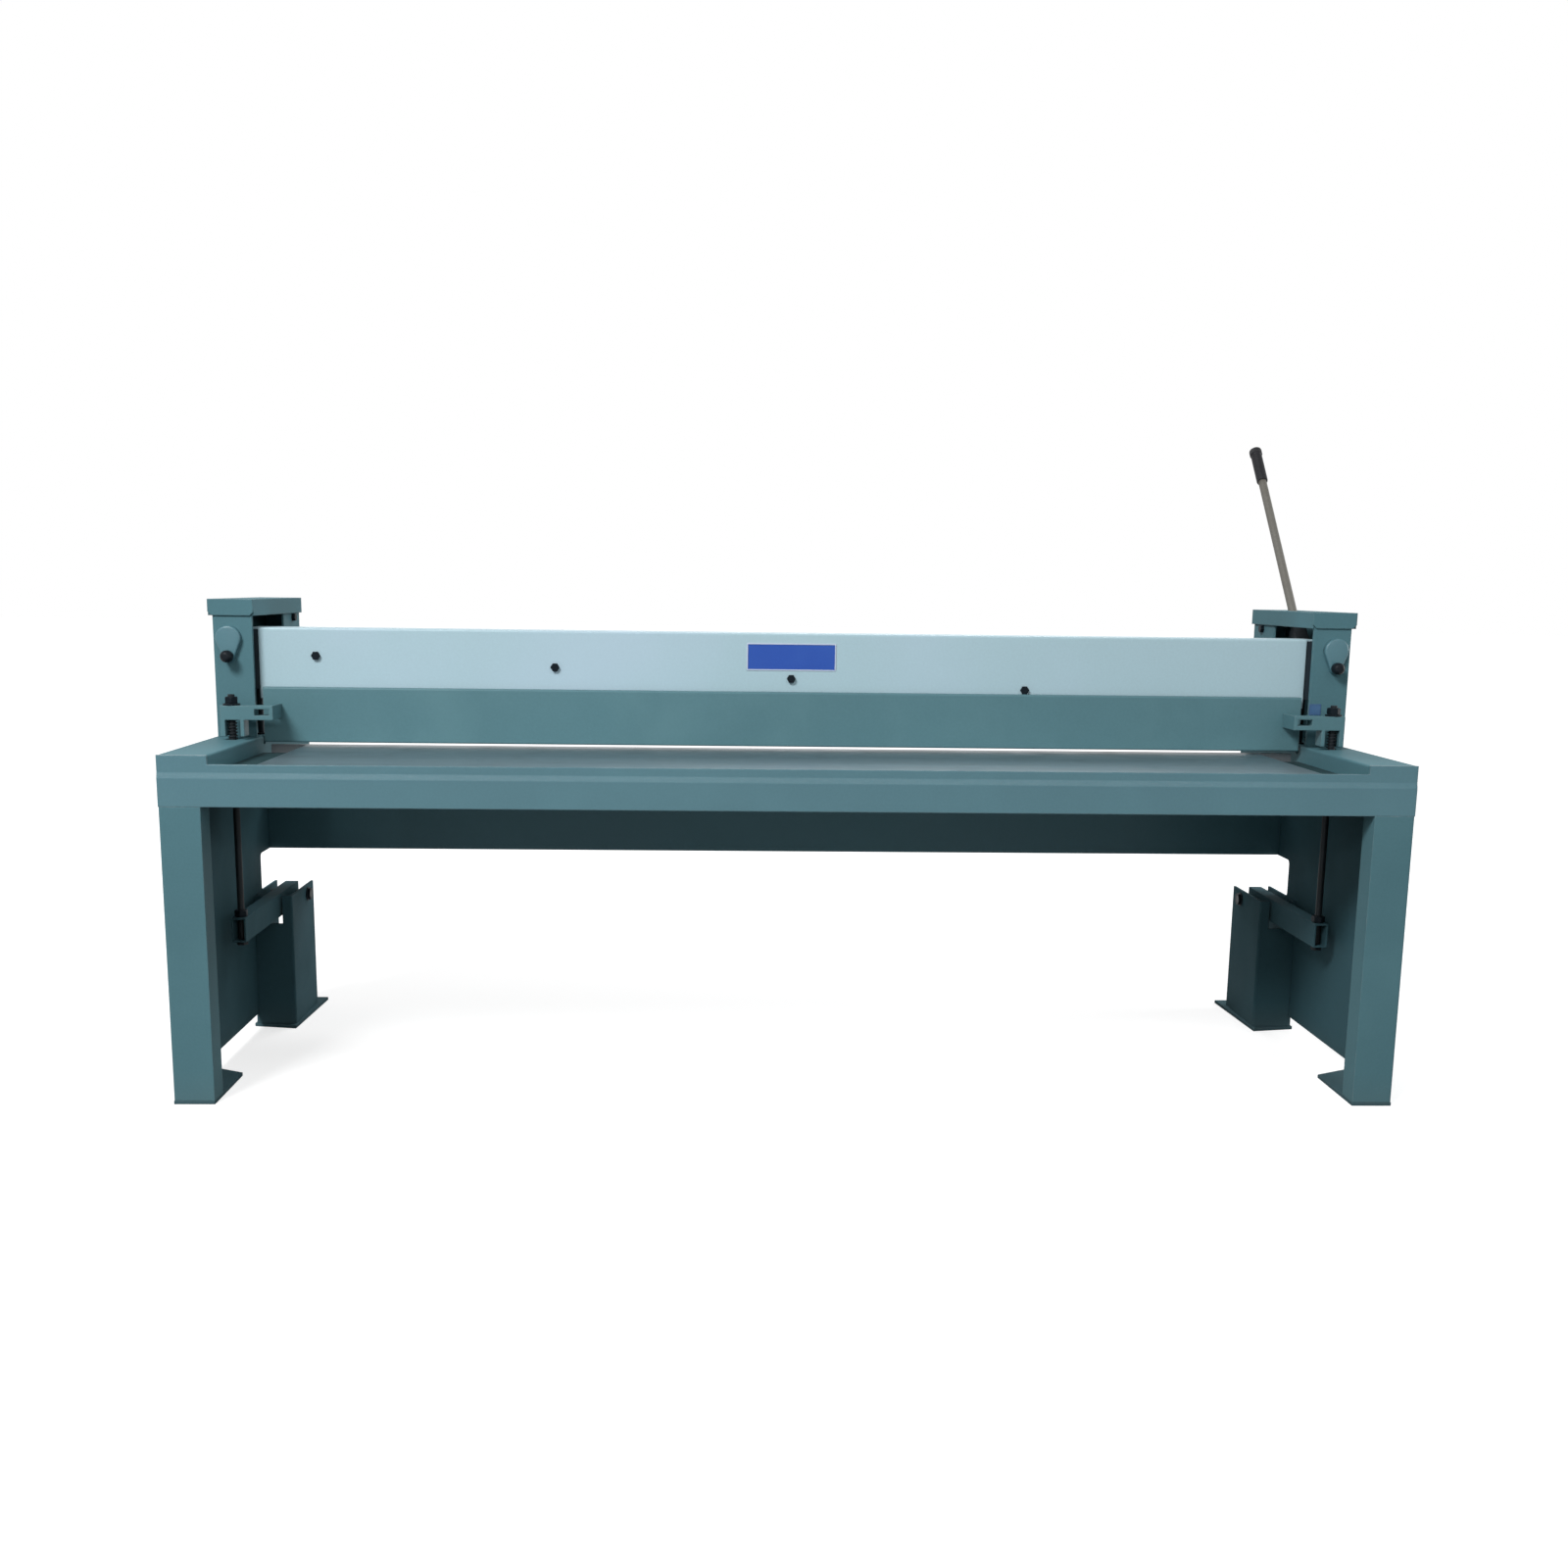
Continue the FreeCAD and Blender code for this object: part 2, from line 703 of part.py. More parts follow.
def make_upper_beam():
    front = beam_front_y
    back = beam_back_y
    sheet = beam_sheet
    section = [
        (front, beam_bottom_z),
        (front + sheet, beam_bottom_z),
        (front + sheet, beam_top_z - sheet),
        (back - sheet, beam_top_z - sheet),
        (back - sheet, beam_top_z - beam_lip),
        (back, beam_top_z - beam_lip),
        (back, beam_top_z),
        (front, beam_top_z),
    ]
    flange_end = end_plate_x + end_plate_thickness
    beam = prism(section, "yz", -flange_end, flange_end)

    def top_corner(centre):
        outer = centre.z > beam_top_z - 1
        return outer and (centre.y < front + 1 or centre.y > back - 1)

    beam = round_edges_along(beam, (1, 0, 0), fold_radius, top_corner)
    for _, side in sides:
        face = box(beam_half_length, flange_end + 1, front - 1, front + sheet, beam_bottom_z - 1, beam_top_z + 1)
        lip = box(end_plate_x, flange_end + 1, back - sheet, back + 1, beam_top_z - beam_lip - 1,
                  beam_top_z - sheet)
        beam = beam.cut(on_side(face, side)).cut(on_side(lip, side))
    for place in bolt_places():
        beam = beam.cut(bolt_shank(place, front - 1, front + sheet + 1))
    return beam


def make_beam_slides():
    # Flat machined bars behind the face plate's ends; they run in the grooves of the blade guides.
    slides = []
    for _, side in sides:
        slide = box(slide_inner_x, slide_outer_x, slide_front_y, slide_back_y,
                    beam_end_bottom_z, beam_top_z - beam_sheet)
        slides.append(on_side(slide, side))
    return Part.makeCompound(slides)


def make_end_plate():
    plate = box(end_plate_x, end_plate_x + end_plate_thickness, slide_back_y, beam_back_y,
                beam_end_bottom_z, beam_top_z - beam_sheet)
    slot_front = shaft_y - crank_radius - roller_reach
    slot_back = crank_pin_y + roller_reach
    slot = box(end_plate_x - 1, end_plate_x + end_plate_thickness + 1, slot_front, slot_back,
               crank_pin_z - roller_reach, crank_pin_z + roller_reach)
    return plate.cut(slot)


def make_spring_plungers():
    bottom = plunger_bottom_z
    plungers = []
    for _, side in sides:
        plungers.append(rod((side * spring_x, spring_y, bottom), (0, 0, 1), plunger_d, beam_end_bottom_z - bottom))
    return Part.makeCompound(plungers)


def make_spring_housings():
    # Tubes closed at the bottom: each holds the spring that lifts its end of the beam.
    bottom = spring_tube_bottom_z
    top = frame_top_z + spring_tube_rise
    floor = bottom + spring_tube_floor
    housings = []
    for _, side in sides:
        tube = rod((side * spring_x, spring_y, bottom), (0, 0, 1), spring_tube_d, top - bottom)
        bore = rod((side * spring_x, spring_y, floor), (0, 0, 1), spring_tube_bore, top - floor + 1)
        housings.append(tube.cut(bore))
    return Part.makeCompound(housings)


def make_tower_front_plate():
    back = tower_front_y + tower_plate
    plate = box(tower_inner_x, tower_outer_x, tower_front_y, back, frame_top_z, cap_top_z - cap_sheet)

    def outer_corner(centre):
        return centre.x > tower_outer_x - 1 and centre.y < tower_front_y + 1

    plate = round_edges_along(plate, (0, 0, 1), fold_radius, outer_corner)
    bore_d = handle_spindle_d + 2 * running_fit
    return plate.cut(rod((handle_x, tower_front_y - 1, handle_z), (0, 1, 0), bore_d, tower_plate + 2))


def make_tower_side_plate():
    front = tower_front_y + tower_plate
    return box(tower_outer_x - tower_plate, tower_outer_x, front, tower_back_y, frame_top_z, cap_top_z - cap_sheet)


def make_tower_rear_post():
    inner = tower_inner_x
    outer = tower_outer_x - tower_plate
    sheet = tower_post_sheet
    section = [
        (inner, tower_post_front_y),
        (inner + sheet, tower_post_front_y),
        (inner + sheet, tower_back_y - sheet),
        (outer, tower_back_y - sheet),
        (outer, tower_back_y),
        (inner, tower_back_y),
    ]
    post = prism(section, "xy", frame_top_z, cap_top_z - cap_sheet)

    def fold(centre):
        return centre.x < inner + 1 and centre.y > tower_back_y - 1

    post = round_edges_along(post, (0, 0, 1), fold_radius, fold)
    hole = rod((inner - 1, post_hole_y, post_hole_z), (1, 0, 0), post_hole_d, sheet + 2)
    return post.cut(hole)


def make_tower_cap(slotted):
    front = tower_front_y - cap_sheet
    back = tower_back_y + cap_sheet
    cap = box(cap_inner_x, cap_outer_x, front, back, cap_bottom_z, cap_top_z)
    hollow = box(cap_inner_x + cap_sheet, cap_outer_x - cap_sheet, tower_front_y, tower_back_y,
                 cap_bottom_z - 1, cap_top_z - cap_sheet)
    cap = cap.cut(hollow)
    chamfer = cap_corner_chamfer
    corner_left = prism([(cap_inner_x - 1, cap_bottom_z - 1), (cap_inner_x + chamfer, cap_bottom_z - 1),
                         (cap_inner_x - 1, cap_bottom_z + chamfer)], "xz", front - 1, tower_front_y)
    corner_right = prism([(cap_outer_x + 1, cap_bottom_z - 1), (cap_outer_x - chamfer, cap_bottom_z - 1),
                          (cap_outer_x + 1, cap_bottom_z + chamfer)], "xz", front - 1, tower_front_y)
    cap = cap.cut(corner_left).cut(corner_right)
    if slotted:
        half_slot = lever_slot_width / 2.0
        slot = box(lever_x - half_slot, lever_x + half_slot, lever_slot_front_y, lever_slot_back_y,
                   cap_top_z - cap_sheet - 1, cap_top_z + 1)
        cap = cap.cut(slot)
    return cap


def make_blade_guides():
    guides = []
    front = tower_front_y + tower_plate
    outer = tower_outer_x - tower_plate
    groove = box(guide_inner_x - 1, slide_outer_x + guide_running_gap, slide_front_y - guide_running_gap,
                 slide_back_y + guide_running_gap, guide_bottom_z - 1, guide_top_z + 1)
    for _, side in sides:
        guide = box(guide_inner_x, outer, front, guide_back_y, guide_bottom_z, guide_top_z)
        guides.append(on_side(guide.cut(groove), side))
    return Part.makeCompound(guides)


def make_shaft_bearings():
    # Square flanged housings on the inside of the tower side plates.
    bearings = []
    inner = bearing_inner_x
    outer = inner + bearing_width
    half = shaft_d / 2.0 + bearing_wall
    bore = rod((inner - 1, shaft_y, shaft_z), (1, 0, 0), shaft_d + 2 * running_fit, bearing_width + 2)
    for _, side in sides:
        flange = box(inner, outer, shaft_y - half, shaft_y + half, shaft_z - half, shaft_z + half)
        bearings.append(on_side(flange.cut(bore), side))
    return Part.makeCompound(bearings)


def make_arm_pivot_pins():
    pins = []
    for _, side in sides:
        start = side_inner_x - arm_pin_overhang
        pin = rod((start, arm_pivot_y, arm_axis_z), (1, 0, 0), arm_pivot_d, panel_outer_x - start)
        pins.append(on_side(pin, side))
    return Part.makeCompound(pins)


def lever_direction():
    lean = math.radians(lever_lean_deg)
    return (0.0, math.sin(lean), math.cos(lean))


def along_lever(radius):
    direction = lever_direction()
    return (lever_x, shaft_y + direction[1] * radius, shaft_z + direction[2] * radius)


def lever_root():
    return shaft_d / 2.0 + lever_root_wall


def make_cross_shaft():
    end = tower_outer_x - tower_plate - shaft_end_gap
    return rod((-end, shaft_y, shaft_z), (1, 0, 0), shaft_d, 2 * end)


def make_lever_hub():
    # A forged socket on the shaft that the lever's root is driven into.
    half = lever_socket_width / 2.0
    along = lever_direction()
    hub_width = shaft_d + 2.0 * lever_hub_wall
    hub = shaft_bar(along[1:], lever_socket_radius, hub_width, lever_socket_width, lever_socket_clip,
                    lever_x - half, lever_x + half)
    return hub.cut(rod(along_lever(lever_root()), along, lever_d, lever_tip_radius))


def make_hand_lever():
    end = lever_tip_radius - grip_end_thickness
    return rod(along_lever(lever_root()), lever_direction(), lever_d, end - lever_root())


def make_lever_grip():
    # A closed rubber sleeve pushed over the lever's end, with a thicker rim at the tip.
    direction = lever_direction()
    grip_d = lever_d + 2.0 * grip_wall
    start = lever_tip_radius - grip_length
    body = rod(along_lever(start), direction, grip_d, grip_length)
    rim_start = lever_tip_radius - grip_rim_length
    rim = rod(along_lever(rim_start), direction, grip_d + 2.0 * grip_rim_step, grip_rim_length)
    bore_length = grip_length - grip_end_thickness + grip_bond
    bore = rod(along_lever(start), direction, lever_d + 2 * grip_bond, bore_length)
    return body.fuse(rim).removeSplitter().cut(bore)


def make_crank():
    end = crank_inner_x + crank_thickness
    along = ((crank_pin_y - shaft_y) / crank_radius, (crank_pin_z - shaft_z) / crank_radius)
    root_width = shaft_d + 2.0 * crank_root_wall
    tip_width = crank_pin_d + 2.0 * crank_tip_wall
    length = crank_radius + tip_width / 2.0
    crank = shaft_bar(along, length, root_width, tip_width, crank_tip_clip, crank_inner_x, end)
    pin = rod((crank_inner_x - 1, crank_pin_y, crank_pin_z), (1, 0, 0), crank_pin_d, crank_thickness + 2)
    return crank.cut(pin)


def make_crank_pins():
    pins = []
    start = end_plate_x - crank_pin_overhang
    length = crank_inner_x + crank_thickness - start
    for _, side in sides:
        pin = rod((start, crank_pin_y, crank_pin_z), (1, 0, 0), crank_pin_d, length)
        pins.append(on_side(pin, side))
    return Part.makeCompound(pins)


def make_crank_rollers():
    rollers = []
    start = end_plate_x - (roller_width - end_plate_thickness) / 2.0
    bore_d = crank_pin_d + 2 * running_fit
    for _, side in sides:
        roller = rod((start, crank_pin_y, crank_pin_z), (1, 0, 0), roller_d, roller_width)
        bore = rod((start - 1, crank_pin_y, crank_pin_z), (1, 0, 0), bore_d, roller_width + 2)
        rollers.append(on_side(roller.cut(bore), side))
    return Part.makeCompound(rollers)


def make_clamp_bar():
    front = clamp_front_y
    sheet = clamp_sheet
    section = [
        (front, clamp_bottom_z),
        (clamp_back_y, clamp_bottom_z),
        (clamp_back_y, clamp_bottom_z + sheet),
        (front + sheet, clamp_bottom_z + sheet),
        (front + sheet, clamp_top_z - sheet),
        (clamp_back_y, clamp_top_z - sheet),
        (clamp_back_y, clamp_top_z),
        (front, clamp_top_z),
    ]
    bar = prism(section, "yz", -clamp_half_length, clamp_half_length)

    def front_edge(centre):
        return centre.y < front + 1

    return round_edges_along(bar, (1, 0, 0), clamp_fold_radius, front_edge)


def make_clamp_yoke():
    front = yoke_front_y
    back = yoke_front_y + yoke_depth
    leg_bottom = frame_top_z + clamp_travel + yoke_leg_play
    bar = box(yoke_inner_x, yoke_outer_x, front, back, yoke_bottom_z, yoke_top_z)
    web = box(yoke_web_x, yoke_web_x + yoke_web_width, front, back, leg_bottom, yoke_bottom_z)
    leg = box(yoke_outer_x - yoke_leg_width, yoke_outer_x, front, back, leg_bottom, yoke_bottom_z)
    lug = box(yoke_inner_x, yoke_inner_x + yoke_lug_width, back, clamp_front_y, yoke_bottom_z, yoke_top_z)
    yoke = bar.fuse(web).fuse(leg).fuse(lug).removeSplitter()
    slot_x = yoke_inner_x + yoke_lug_width
    slot_z = yoke_bottom_z + yoke_slot_rise
    slot = box(slot_x, slot_x + yoke_slot_length, front - 1, back + 1, slot_z, slot_z + yoke_slot_height)
    hole = rod((rod_x, rod_y, yoke_bottom_z - 1), (0, 0, 1), rod_d, yoke_top_z - yoke_bottom_z + 2)
    return yoke.cut(slot).cut(hole)


def make_pull_rod():
    # A long bolt: its head is under the arm, its threaded end stands above the yoke.
    head_top = arm_bottom_z - rod_nut_play
    head_bottom = head_top - rod_head_height
    top = yoke_top_z + rod_nut_height + rod_end_rise
    head = hexagon((rod_x, rod_y), rod_nut_flats, "xy", head_bottom, head_top)
    return rod((rod_x, rod_y, head_bottom), (0, 0, 1), rod_d, top - head_bottom).fuse(head).removeSplitter()


def make_pull_rod_nuts():
    # On each rod one nut holds the yoke down and one keeps the arm close to the rod's head.
    nuts = []
    arm_top_z = arm_bottom_z + arm_height
    core = rod((rod_x, rod_y, 0.0), (0, 0, 1), rod_d, beam_top_z)
    for _, side in sides:
        for bottom in (yoke_top_z, arm_top_z + rod_nut_play):
            nut = hexagon((rod_x, rod_y), rod_nut_flats, "xy", bottom, bottom + rod_nut_height)
            nuts.append(on_side(nut.cut(core), side))
    return Part.makeCompound(nuts)


def make_clamp_arm():
    # A rectangular tube with a bored boss at the pivot and a slot that lets the rod tilt.
    left = rod_x - arm_width / 2.0
    right = rod_x + arm_width / 2.0
    top = arm_bottom_z + arm_height
    wall = arm_wall
    tube = box(left, right, arm_front_y, arm_back_y, arm_bottom_z, top)
    hollow = box(left + wall, right - wall, arm_front_y - 1, arm_back_y + 1, arm_bottom_z + wall, top - wall)
    boss_d = arm_pivot_d + 2.0 * arm_boss_wall
    boss = rod((left, arm_pivot_y, arm_axis_z), (1, 0, 0), boss_d, arm_width)
    arm = tube.cut(hollow).fuse(boss).removeSplitter()
    bore_d = arm_pivot_d + 2 * running_fit
    arm = arm.cut(rod((left - 1, arm_pivot_y, arm_axis_z), (1, 0, 0), bore_d, arm_width + 2))
    half_slot = rod_d / 2.0 + rod_clearance / 2.0
    slot = box(rod_x - half_slot, rod_x + half_slot, rod_y - half_slot, rod_y + half_slot,
               arm_bottom_z - 1, top + 1)
    return arm.cut(slot)


def make_lock_handle():
    # A flat cranked handle; its spindle screws through the tower plate and bears on the guide.
    seat = tower_front_y - handle_seat_gap
    tip = (handle_x, handle_z - handle_throw)
    handle = tapered_link((handle_x, handle_z), handle_hub_d, tip, handle_tip_d, seat - handle_thickness, seat)
    spindle_end = tower_front_y + tower_plate - handle_seat_gap
    spindle = rod((handle_x, seat, handle_z), (0, 1, 0), handle_spindle_d, spindle_end - seat)
    return handle.fuse(spindle).removeSplitter()


def make_lock_knob():
    face = tower_front_y - handle_seat_gap - handle_thickness
    centre = (handle_x, handle_z - handle_throw)
    return many_sided(centre, handle_knob_d, handle_knob_sides, "xz", face - handle_knob_length, face)


save("front_rail", make_front_rail())
save("rear_beam", make_rear_beam())
save("bed_tray", make_bed_tray())
save("bed_beam", make_bed_beam())
save("bed_plate", make_bed_plate())
save("lower_blade", make_lower_blade())
save("blade_guides", make_blade_guides())
save("shaft_bearings", make_shaft_bearings())
save("spring_housings", make_spring_housings())
save("arm_pivot_pins", make_arm_pivot_pins())
save("cross_shaft", make_cross_shaft())
save("lever_hub", make_lever_hub())
save("hand_lever", make_hand_lever())
save("lever_grip", make_lever_grip())
save("crank_pins", make_crank_pins())
save("crank_rollers", make_crank_rollers())
save("upper_beam", make_upper_beam())
save("blade_carrier", make_blade_carrier())
save("upper_blade", make_upper_blade())
save("beam_bolts", make_beam_bolts())
save("beam_slides", make_beam_slides())
save("spring_plungers", make_spring_plungers())
save("clamp_bar", make_clamp_bar())
save("pull_rod_nuts", make_pull_rod_nuts())

for label, side in sides:
    save("front_leg_" + label, on_side(make_front_leg(), side))
    save("front_foot_" + label, on_side(make_front_foot(), side))
    save("side_top_" + label, on_side(make_side_top(), side))
    save("side_panel_" + label, on_side(make_side_panel(), side))
    save("rear_leg_" + label, on_side(make_rear_leg(), side))
    save("rear_foot_" + label, on_side(make_rear_foot(), side))
    save("tower_front_plate_" + label, on_side(make_tower_front_plate(), side))
    save("tower_side_plate_" + label, on_side(make_tower_side_plate(), side))
    save("tower_rear_post_" + label, on_side(make_tower_rear_post(), side))
    save("tower_cap_" + label, on_side(make_tower_cap(side > 0), side))
    save("crank_" + label, on_side(make_crank(), side))
    save("beam_end_plate_" + label, on_side(make_end_plate(), side))
    save("clamp_yoke_" + label, on_side(make_clamp_yoke(), side))
    save("pull_rod_" + label, on_side(make_pull_rod(), side))
    save("clamp_arm_" + label, on_side(make_clamp_arm(), side))
    save("lock_handle_" + label, on_side(make_lock_handle(), side))
    save("lock_knob_" + label, on_side(make_lock_knob(), side))
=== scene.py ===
import math
import bmesh
import bpy
from mathutils import Matrix, Vector


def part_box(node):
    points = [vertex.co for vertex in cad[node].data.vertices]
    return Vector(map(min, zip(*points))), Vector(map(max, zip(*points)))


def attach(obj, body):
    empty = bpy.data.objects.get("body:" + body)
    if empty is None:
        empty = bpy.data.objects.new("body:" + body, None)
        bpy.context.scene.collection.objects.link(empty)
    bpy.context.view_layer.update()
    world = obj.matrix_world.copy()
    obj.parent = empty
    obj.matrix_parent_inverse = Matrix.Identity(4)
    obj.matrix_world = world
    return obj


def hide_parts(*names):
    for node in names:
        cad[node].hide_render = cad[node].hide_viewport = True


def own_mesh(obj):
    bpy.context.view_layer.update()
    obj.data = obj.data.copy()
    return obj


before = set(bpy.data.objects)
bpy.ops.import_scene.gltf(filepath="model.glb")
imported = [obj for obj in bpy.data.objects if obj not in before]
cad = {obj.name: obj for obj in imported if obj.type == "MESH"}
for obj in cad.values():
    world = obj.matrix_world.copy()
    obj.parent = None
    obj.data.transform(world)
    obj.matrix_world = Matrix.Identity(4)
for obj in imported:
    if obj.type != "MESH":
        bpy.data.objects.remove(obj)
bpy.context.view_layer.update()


# The stand: front portal, side frames, rear legs, feet and the beam between the rear legs, all folded and
# welded from 6 mm sheet. The sprayed blue-green is glossiest on the rail, satin on the front legs and dull
# on the inner sheets and the feet, where it is also made darker as painted shade. It is rubbed along its
# edges and dusty where it stands on the floor.
def srgb(red, green, blue):
    # A colour as the eye reads it on a screen, 0 to 255, made linear for the shader.
    linear = []
    for value in (red, green, blue):
        part = value / 255.0
        linear.append(part / 12.92 if part <= 0.04045 else ((part + 0.055) / 1.055) ** 2.4)
    return (*linear, 1.0)


def new_group(name, inputs, outputs):
    group = bpy.data.node_groups.new(name, "ShaderNodeTree")
    for label, kind, value in inputs:
        socket = group.interface.new_socket(label, in_out="INPUT", socket_type=kind)
        socket.default_value = value
    for label, kind in outputs:
        group.interface.new_socket(label, in_out="OUTPUT", socket_type=kind)
    return group, group.nodes.new("NodeGroupInput"), group.nodes.new("NodeGroupOutput")


def give(tree, socket, given):
    # A number or colour is set on the socket; another node's output is linked to it.
    if isinstance(given, (float, tuple)):
        socket.default_value = given
    else:
        tree.links.new(given, socket)


def feed(tree, node, **values):
    # Each value goes to the socket of its name, where an underscore stands for a space.
    for label, given in values.items():
        give(tree, node.inputs[label.replace("_", " ")], given)
    return node


def placed(tree, kind, **values):
    return feed(tree, tree.nodes.new(kind), **values)


def noise(tree, place, **values):
    return placed(tree, "ShaderNodeTexNoise", Vector=place, **values).outputs["Fac"]


def spread(tree, value, **limits):
    # The value's part between From Min and From Max is stretched over To Min to To Max, and held there.
    return placed(tree, "ShaderNodeMapRange", Value=value, **limits).outputs["Result"]


def maths(tree, operation, first, second):
    node = tree.nodes.new("ShaderNodeMath")
    node.operation = operation
    give(tree, node.inputs[0], first)
    give(tree, node.inputs[1], second)
    return node.outputs["Value"]


def blended(tree, share, first, second):
    # The second colour laid over the first by its share.
    node = tree.nodes.new("ShaderNodeMix")
    node.data_type = "RGBA"
    return feed(tree, node, Factor=share, A=first, B=second).outputs["Result"]


def shaded(tree, colour, strength):
    # A colour made darker or lighter.
    node = tree.nodes.new("ShaderNodeVectorMath")
    node.operation = "SCALE"
    return feed(tree, node, Vector=colour, Scale=strength).outputs["Vector"]


def edge_rub_and_highlight():
    # Folds and sheet edges: rounded in the light, and rubbed in a broken line where hands and sheets touch;
    # on steel the same mask also carries a painted edge highlight.
    tree, given, result = new_group(
        "edge_rub_and_highlight",
        (("Width", "NodeSocketFloat", 0.002), ("Amount", "NodeSocketFloat", 0.5)),
        (("Mask", "NodeSocketFloat"), ("Normal", "NodeSocketVector")),
    )
    rounded = placed(tree, "ShaderNodeBevel", Radius=given.outputs["Width"])
    rounded.samples = 4
    flat = tree.nodes.new("ShaderNodeNewGeometry")
    turn = tree.nodes.new("ShaderNodeVectorMath")
    turn.operation = "DOT_PRODUCT"
    tree.links.new(rounded.outputs["Normal"], turn.inputs[0])
    tree.links.new(flat.outputs["True Normal"], turn.inputs[1])
    edge = spread(tree, turn.outputs["Value"], From_Min=0.995, From_Max=0.80)
    place = tree.nodes.new("ShaderNodeTexCoord")
    broken = noise(tree, place.outputs["Object"], Scale=34.0, Detail=5.0, Roughness=0.65)
    gaps = spread(tree, broken, From_Min=0.40, From_Max=0.62)
    worn = maths(tree, "MULTIPLY", edge, gaps)
    mask = maths(tree, "MULTIPLY", worn, given.outputs["Amount"])
    feed(tree, result, Mask=mask, Normal=rounded.outputs["Normal"])
    return tree


def sprayed_skin():
    # Sprayed paint: slow drift of tone, soft smears from handling (on the blade beam, large pale patches of
    # painted reflection), floor dust near the feet, fine peel.
    tree, given, result = new_group(
        "sprayed_skin",
        (
            ("Colour", "NodeSocketColor", (0.5, 0.5, 0.5, 1.0)),
            ("Smear Colour", "NodeSocketColor", (0.5, 0.5, 0.5, 1.0)),
            ("Dust Colour", "NodeSocketColor", (0.16, 0.17, 0.16, 1.0)),
            ("Drift", "NodeSocketFloat", 0.1),
            ("Smear", "NodeSocketFloat", 0.1),
            ("Smear Size", "NodeSocketFloat", 6.0),
            ("Gloss Low", "NodeSocketFloat", 0.3),
            ("Gloss High", "NodeSocketFloat", 0.4),
            ("Peel Size", "NodeSocketFloat", 400.0),
        ),
        (("Colour", "NodeSocketColor"), ("Roughness", "NodeSocketFloat"), ("Height", "NodeSocketFloat")),
    )
    given = given.outputs
    place = tree.nodes.new("ShaderNodeTexCoord").outputs["Object"]
    slow = noise(tree, place, Scale=1.7, Detail=4.0)
    smears = noise(tree, place, Scale=given["Smear Size"], Detail=3.0, Roughness=0.5, Distortion=0.2)
    specks = noise(tree, place, Scale=180.0, Detail=2.0)
    peel = noise(tree, place, Scale=given["Peel Size"], Detail=1.0)
    darkest = maths(tree, "SUBTRACT", 1.0, given["Drift"])
    tone = spread(tree, slow, From_Min=0.3, From_Max=0.7, To_Min=darkest, To_Max=1.0)
    grain = spread(tree, specks, From_Min=0.25, From_Max=0.75, To_Min=0.97, To_Max=1.03)
    shade = shaded(tree, given["Colour"], maths(tree, "MULTIPLY", tone, grain))
    smear = placed(tree, "ShaderNodeMapRange", Value=smears, From_Min=0.38, From_Max=0.78,
                   To_Max=given["Smear"])
    smear.interpolation_type = "SMOOTHSTEP"
    handled = blended(tree, smear.outputs["Result"], shade, given["Smear Colour"])
    height = placed(tree, "ShaderNodeSeparateXYZ", Vector=place)
    low = spread(tree, height.outputs["Z"], From_Min=0.08, From_Max=0.0, To_Max=0.25)
    dust = maths(tree, "MULTIPLY", low, smears)
    gloss = spread(tree, smears, From_Min=0.2, From_Max=0.8,
                   To_Min=given["Gloss Low"], To_Max=given["Gloss High"])
    feed(tree, result, Colour=blended(tree, dust, handled, given["Dust Colour"]),
         Roughness=maths(tree, "ADD", gloss, dust), Height=peel)
    return tree


edge_rub_and_highlight_group = edge_rub_and_highlight()
sprayed_skin_group = sprayed_skin()


def new_material(name):
    material = bpy.data.materials.new(name)
    material.use_nodes = True
    return material, material.node_tree, material.node_tree.nodes["Principled BSDF"]


def fitted(tree, group, **values):
    # A shader group placed in a material, with the material's own values.
    node = tree.nodes.new("ShaderNodeGroup")
    node.node_tree = group
    return feed(tree, node, **values)


def sprayed(name, colour, smear_colour, bare_colour, drift, smear, smear_size, gloss, rub, shine):
    material, tree, shader = new_material(name)
    skin = fitted(tree, sprayed_skin_group, Colour=colour, Smear_Colour=smear_colour, Drift=drift,
                  Smear=smear, Smear_Size=smear_size, Gloss_Low=gloss[0], Gloss_High=gloss[1],
                  Peel_Size=420.0)
    rubbed = fitted(tree, edge_rub_and_highlight_group, Width=0.0035, Amount=rub)
    bump = placed(tree, "ShaderNodeBump", Strength=0.25, Distance=0.0004, Height=skin.outputs["Height"],
                  Normal=rubbed.outputs["Normal"])
    feed(tree, shader, Base_Color=blended(tree, rubbed.outputs["Mask"], skin.outputs["Colour"], bare_colour),
         Roughness=skin.outputs["Roughness"], Normal=bump.outputs["Normal"], Specular_IOR_Level=shine)
    return material


def dress(material, *names):
    for name in names:
        cad[name].data.materials.clear()
        cad[name].data.materials.append(material)


def both(*names):
    return [name + side for name in names for side in ("_left", "_right")]


machine_paint = sprayed(
    "machine_paint",
    colour=srgb(79, 119, 130), smear_colour=srgb(92, 134, 144), bare_colour=srgb(140, 158, 160),
    drift=0.10, smear=0.22, smear_size=5.0, gloss=(0.29, 0.36), rub=0.5, shine=0.40)
satin_paint = sprayed(
    "satin_paint",
    colour=srgb(85, 123, 132), smear_colour=srgb(98, 137, 145), bare_colour=srgb(136, 150, 150),
    drift=0.12, smear=0.25, smear_size=5.0, gloss=(0.46, 0.56), rub=0.5, shine=0.03)
rear_paint = sprayed(
    "rear_paint",
    colour=srgb(84, 124, 135), smear_colour=srgb(90, 128, 136), bare_colour=srgb(136, 150, 150),
    drift=0.12, smear=0.25, smear_size=4.0, gloss=(0.36, 0.46), rub=0.4, shine=0.2)
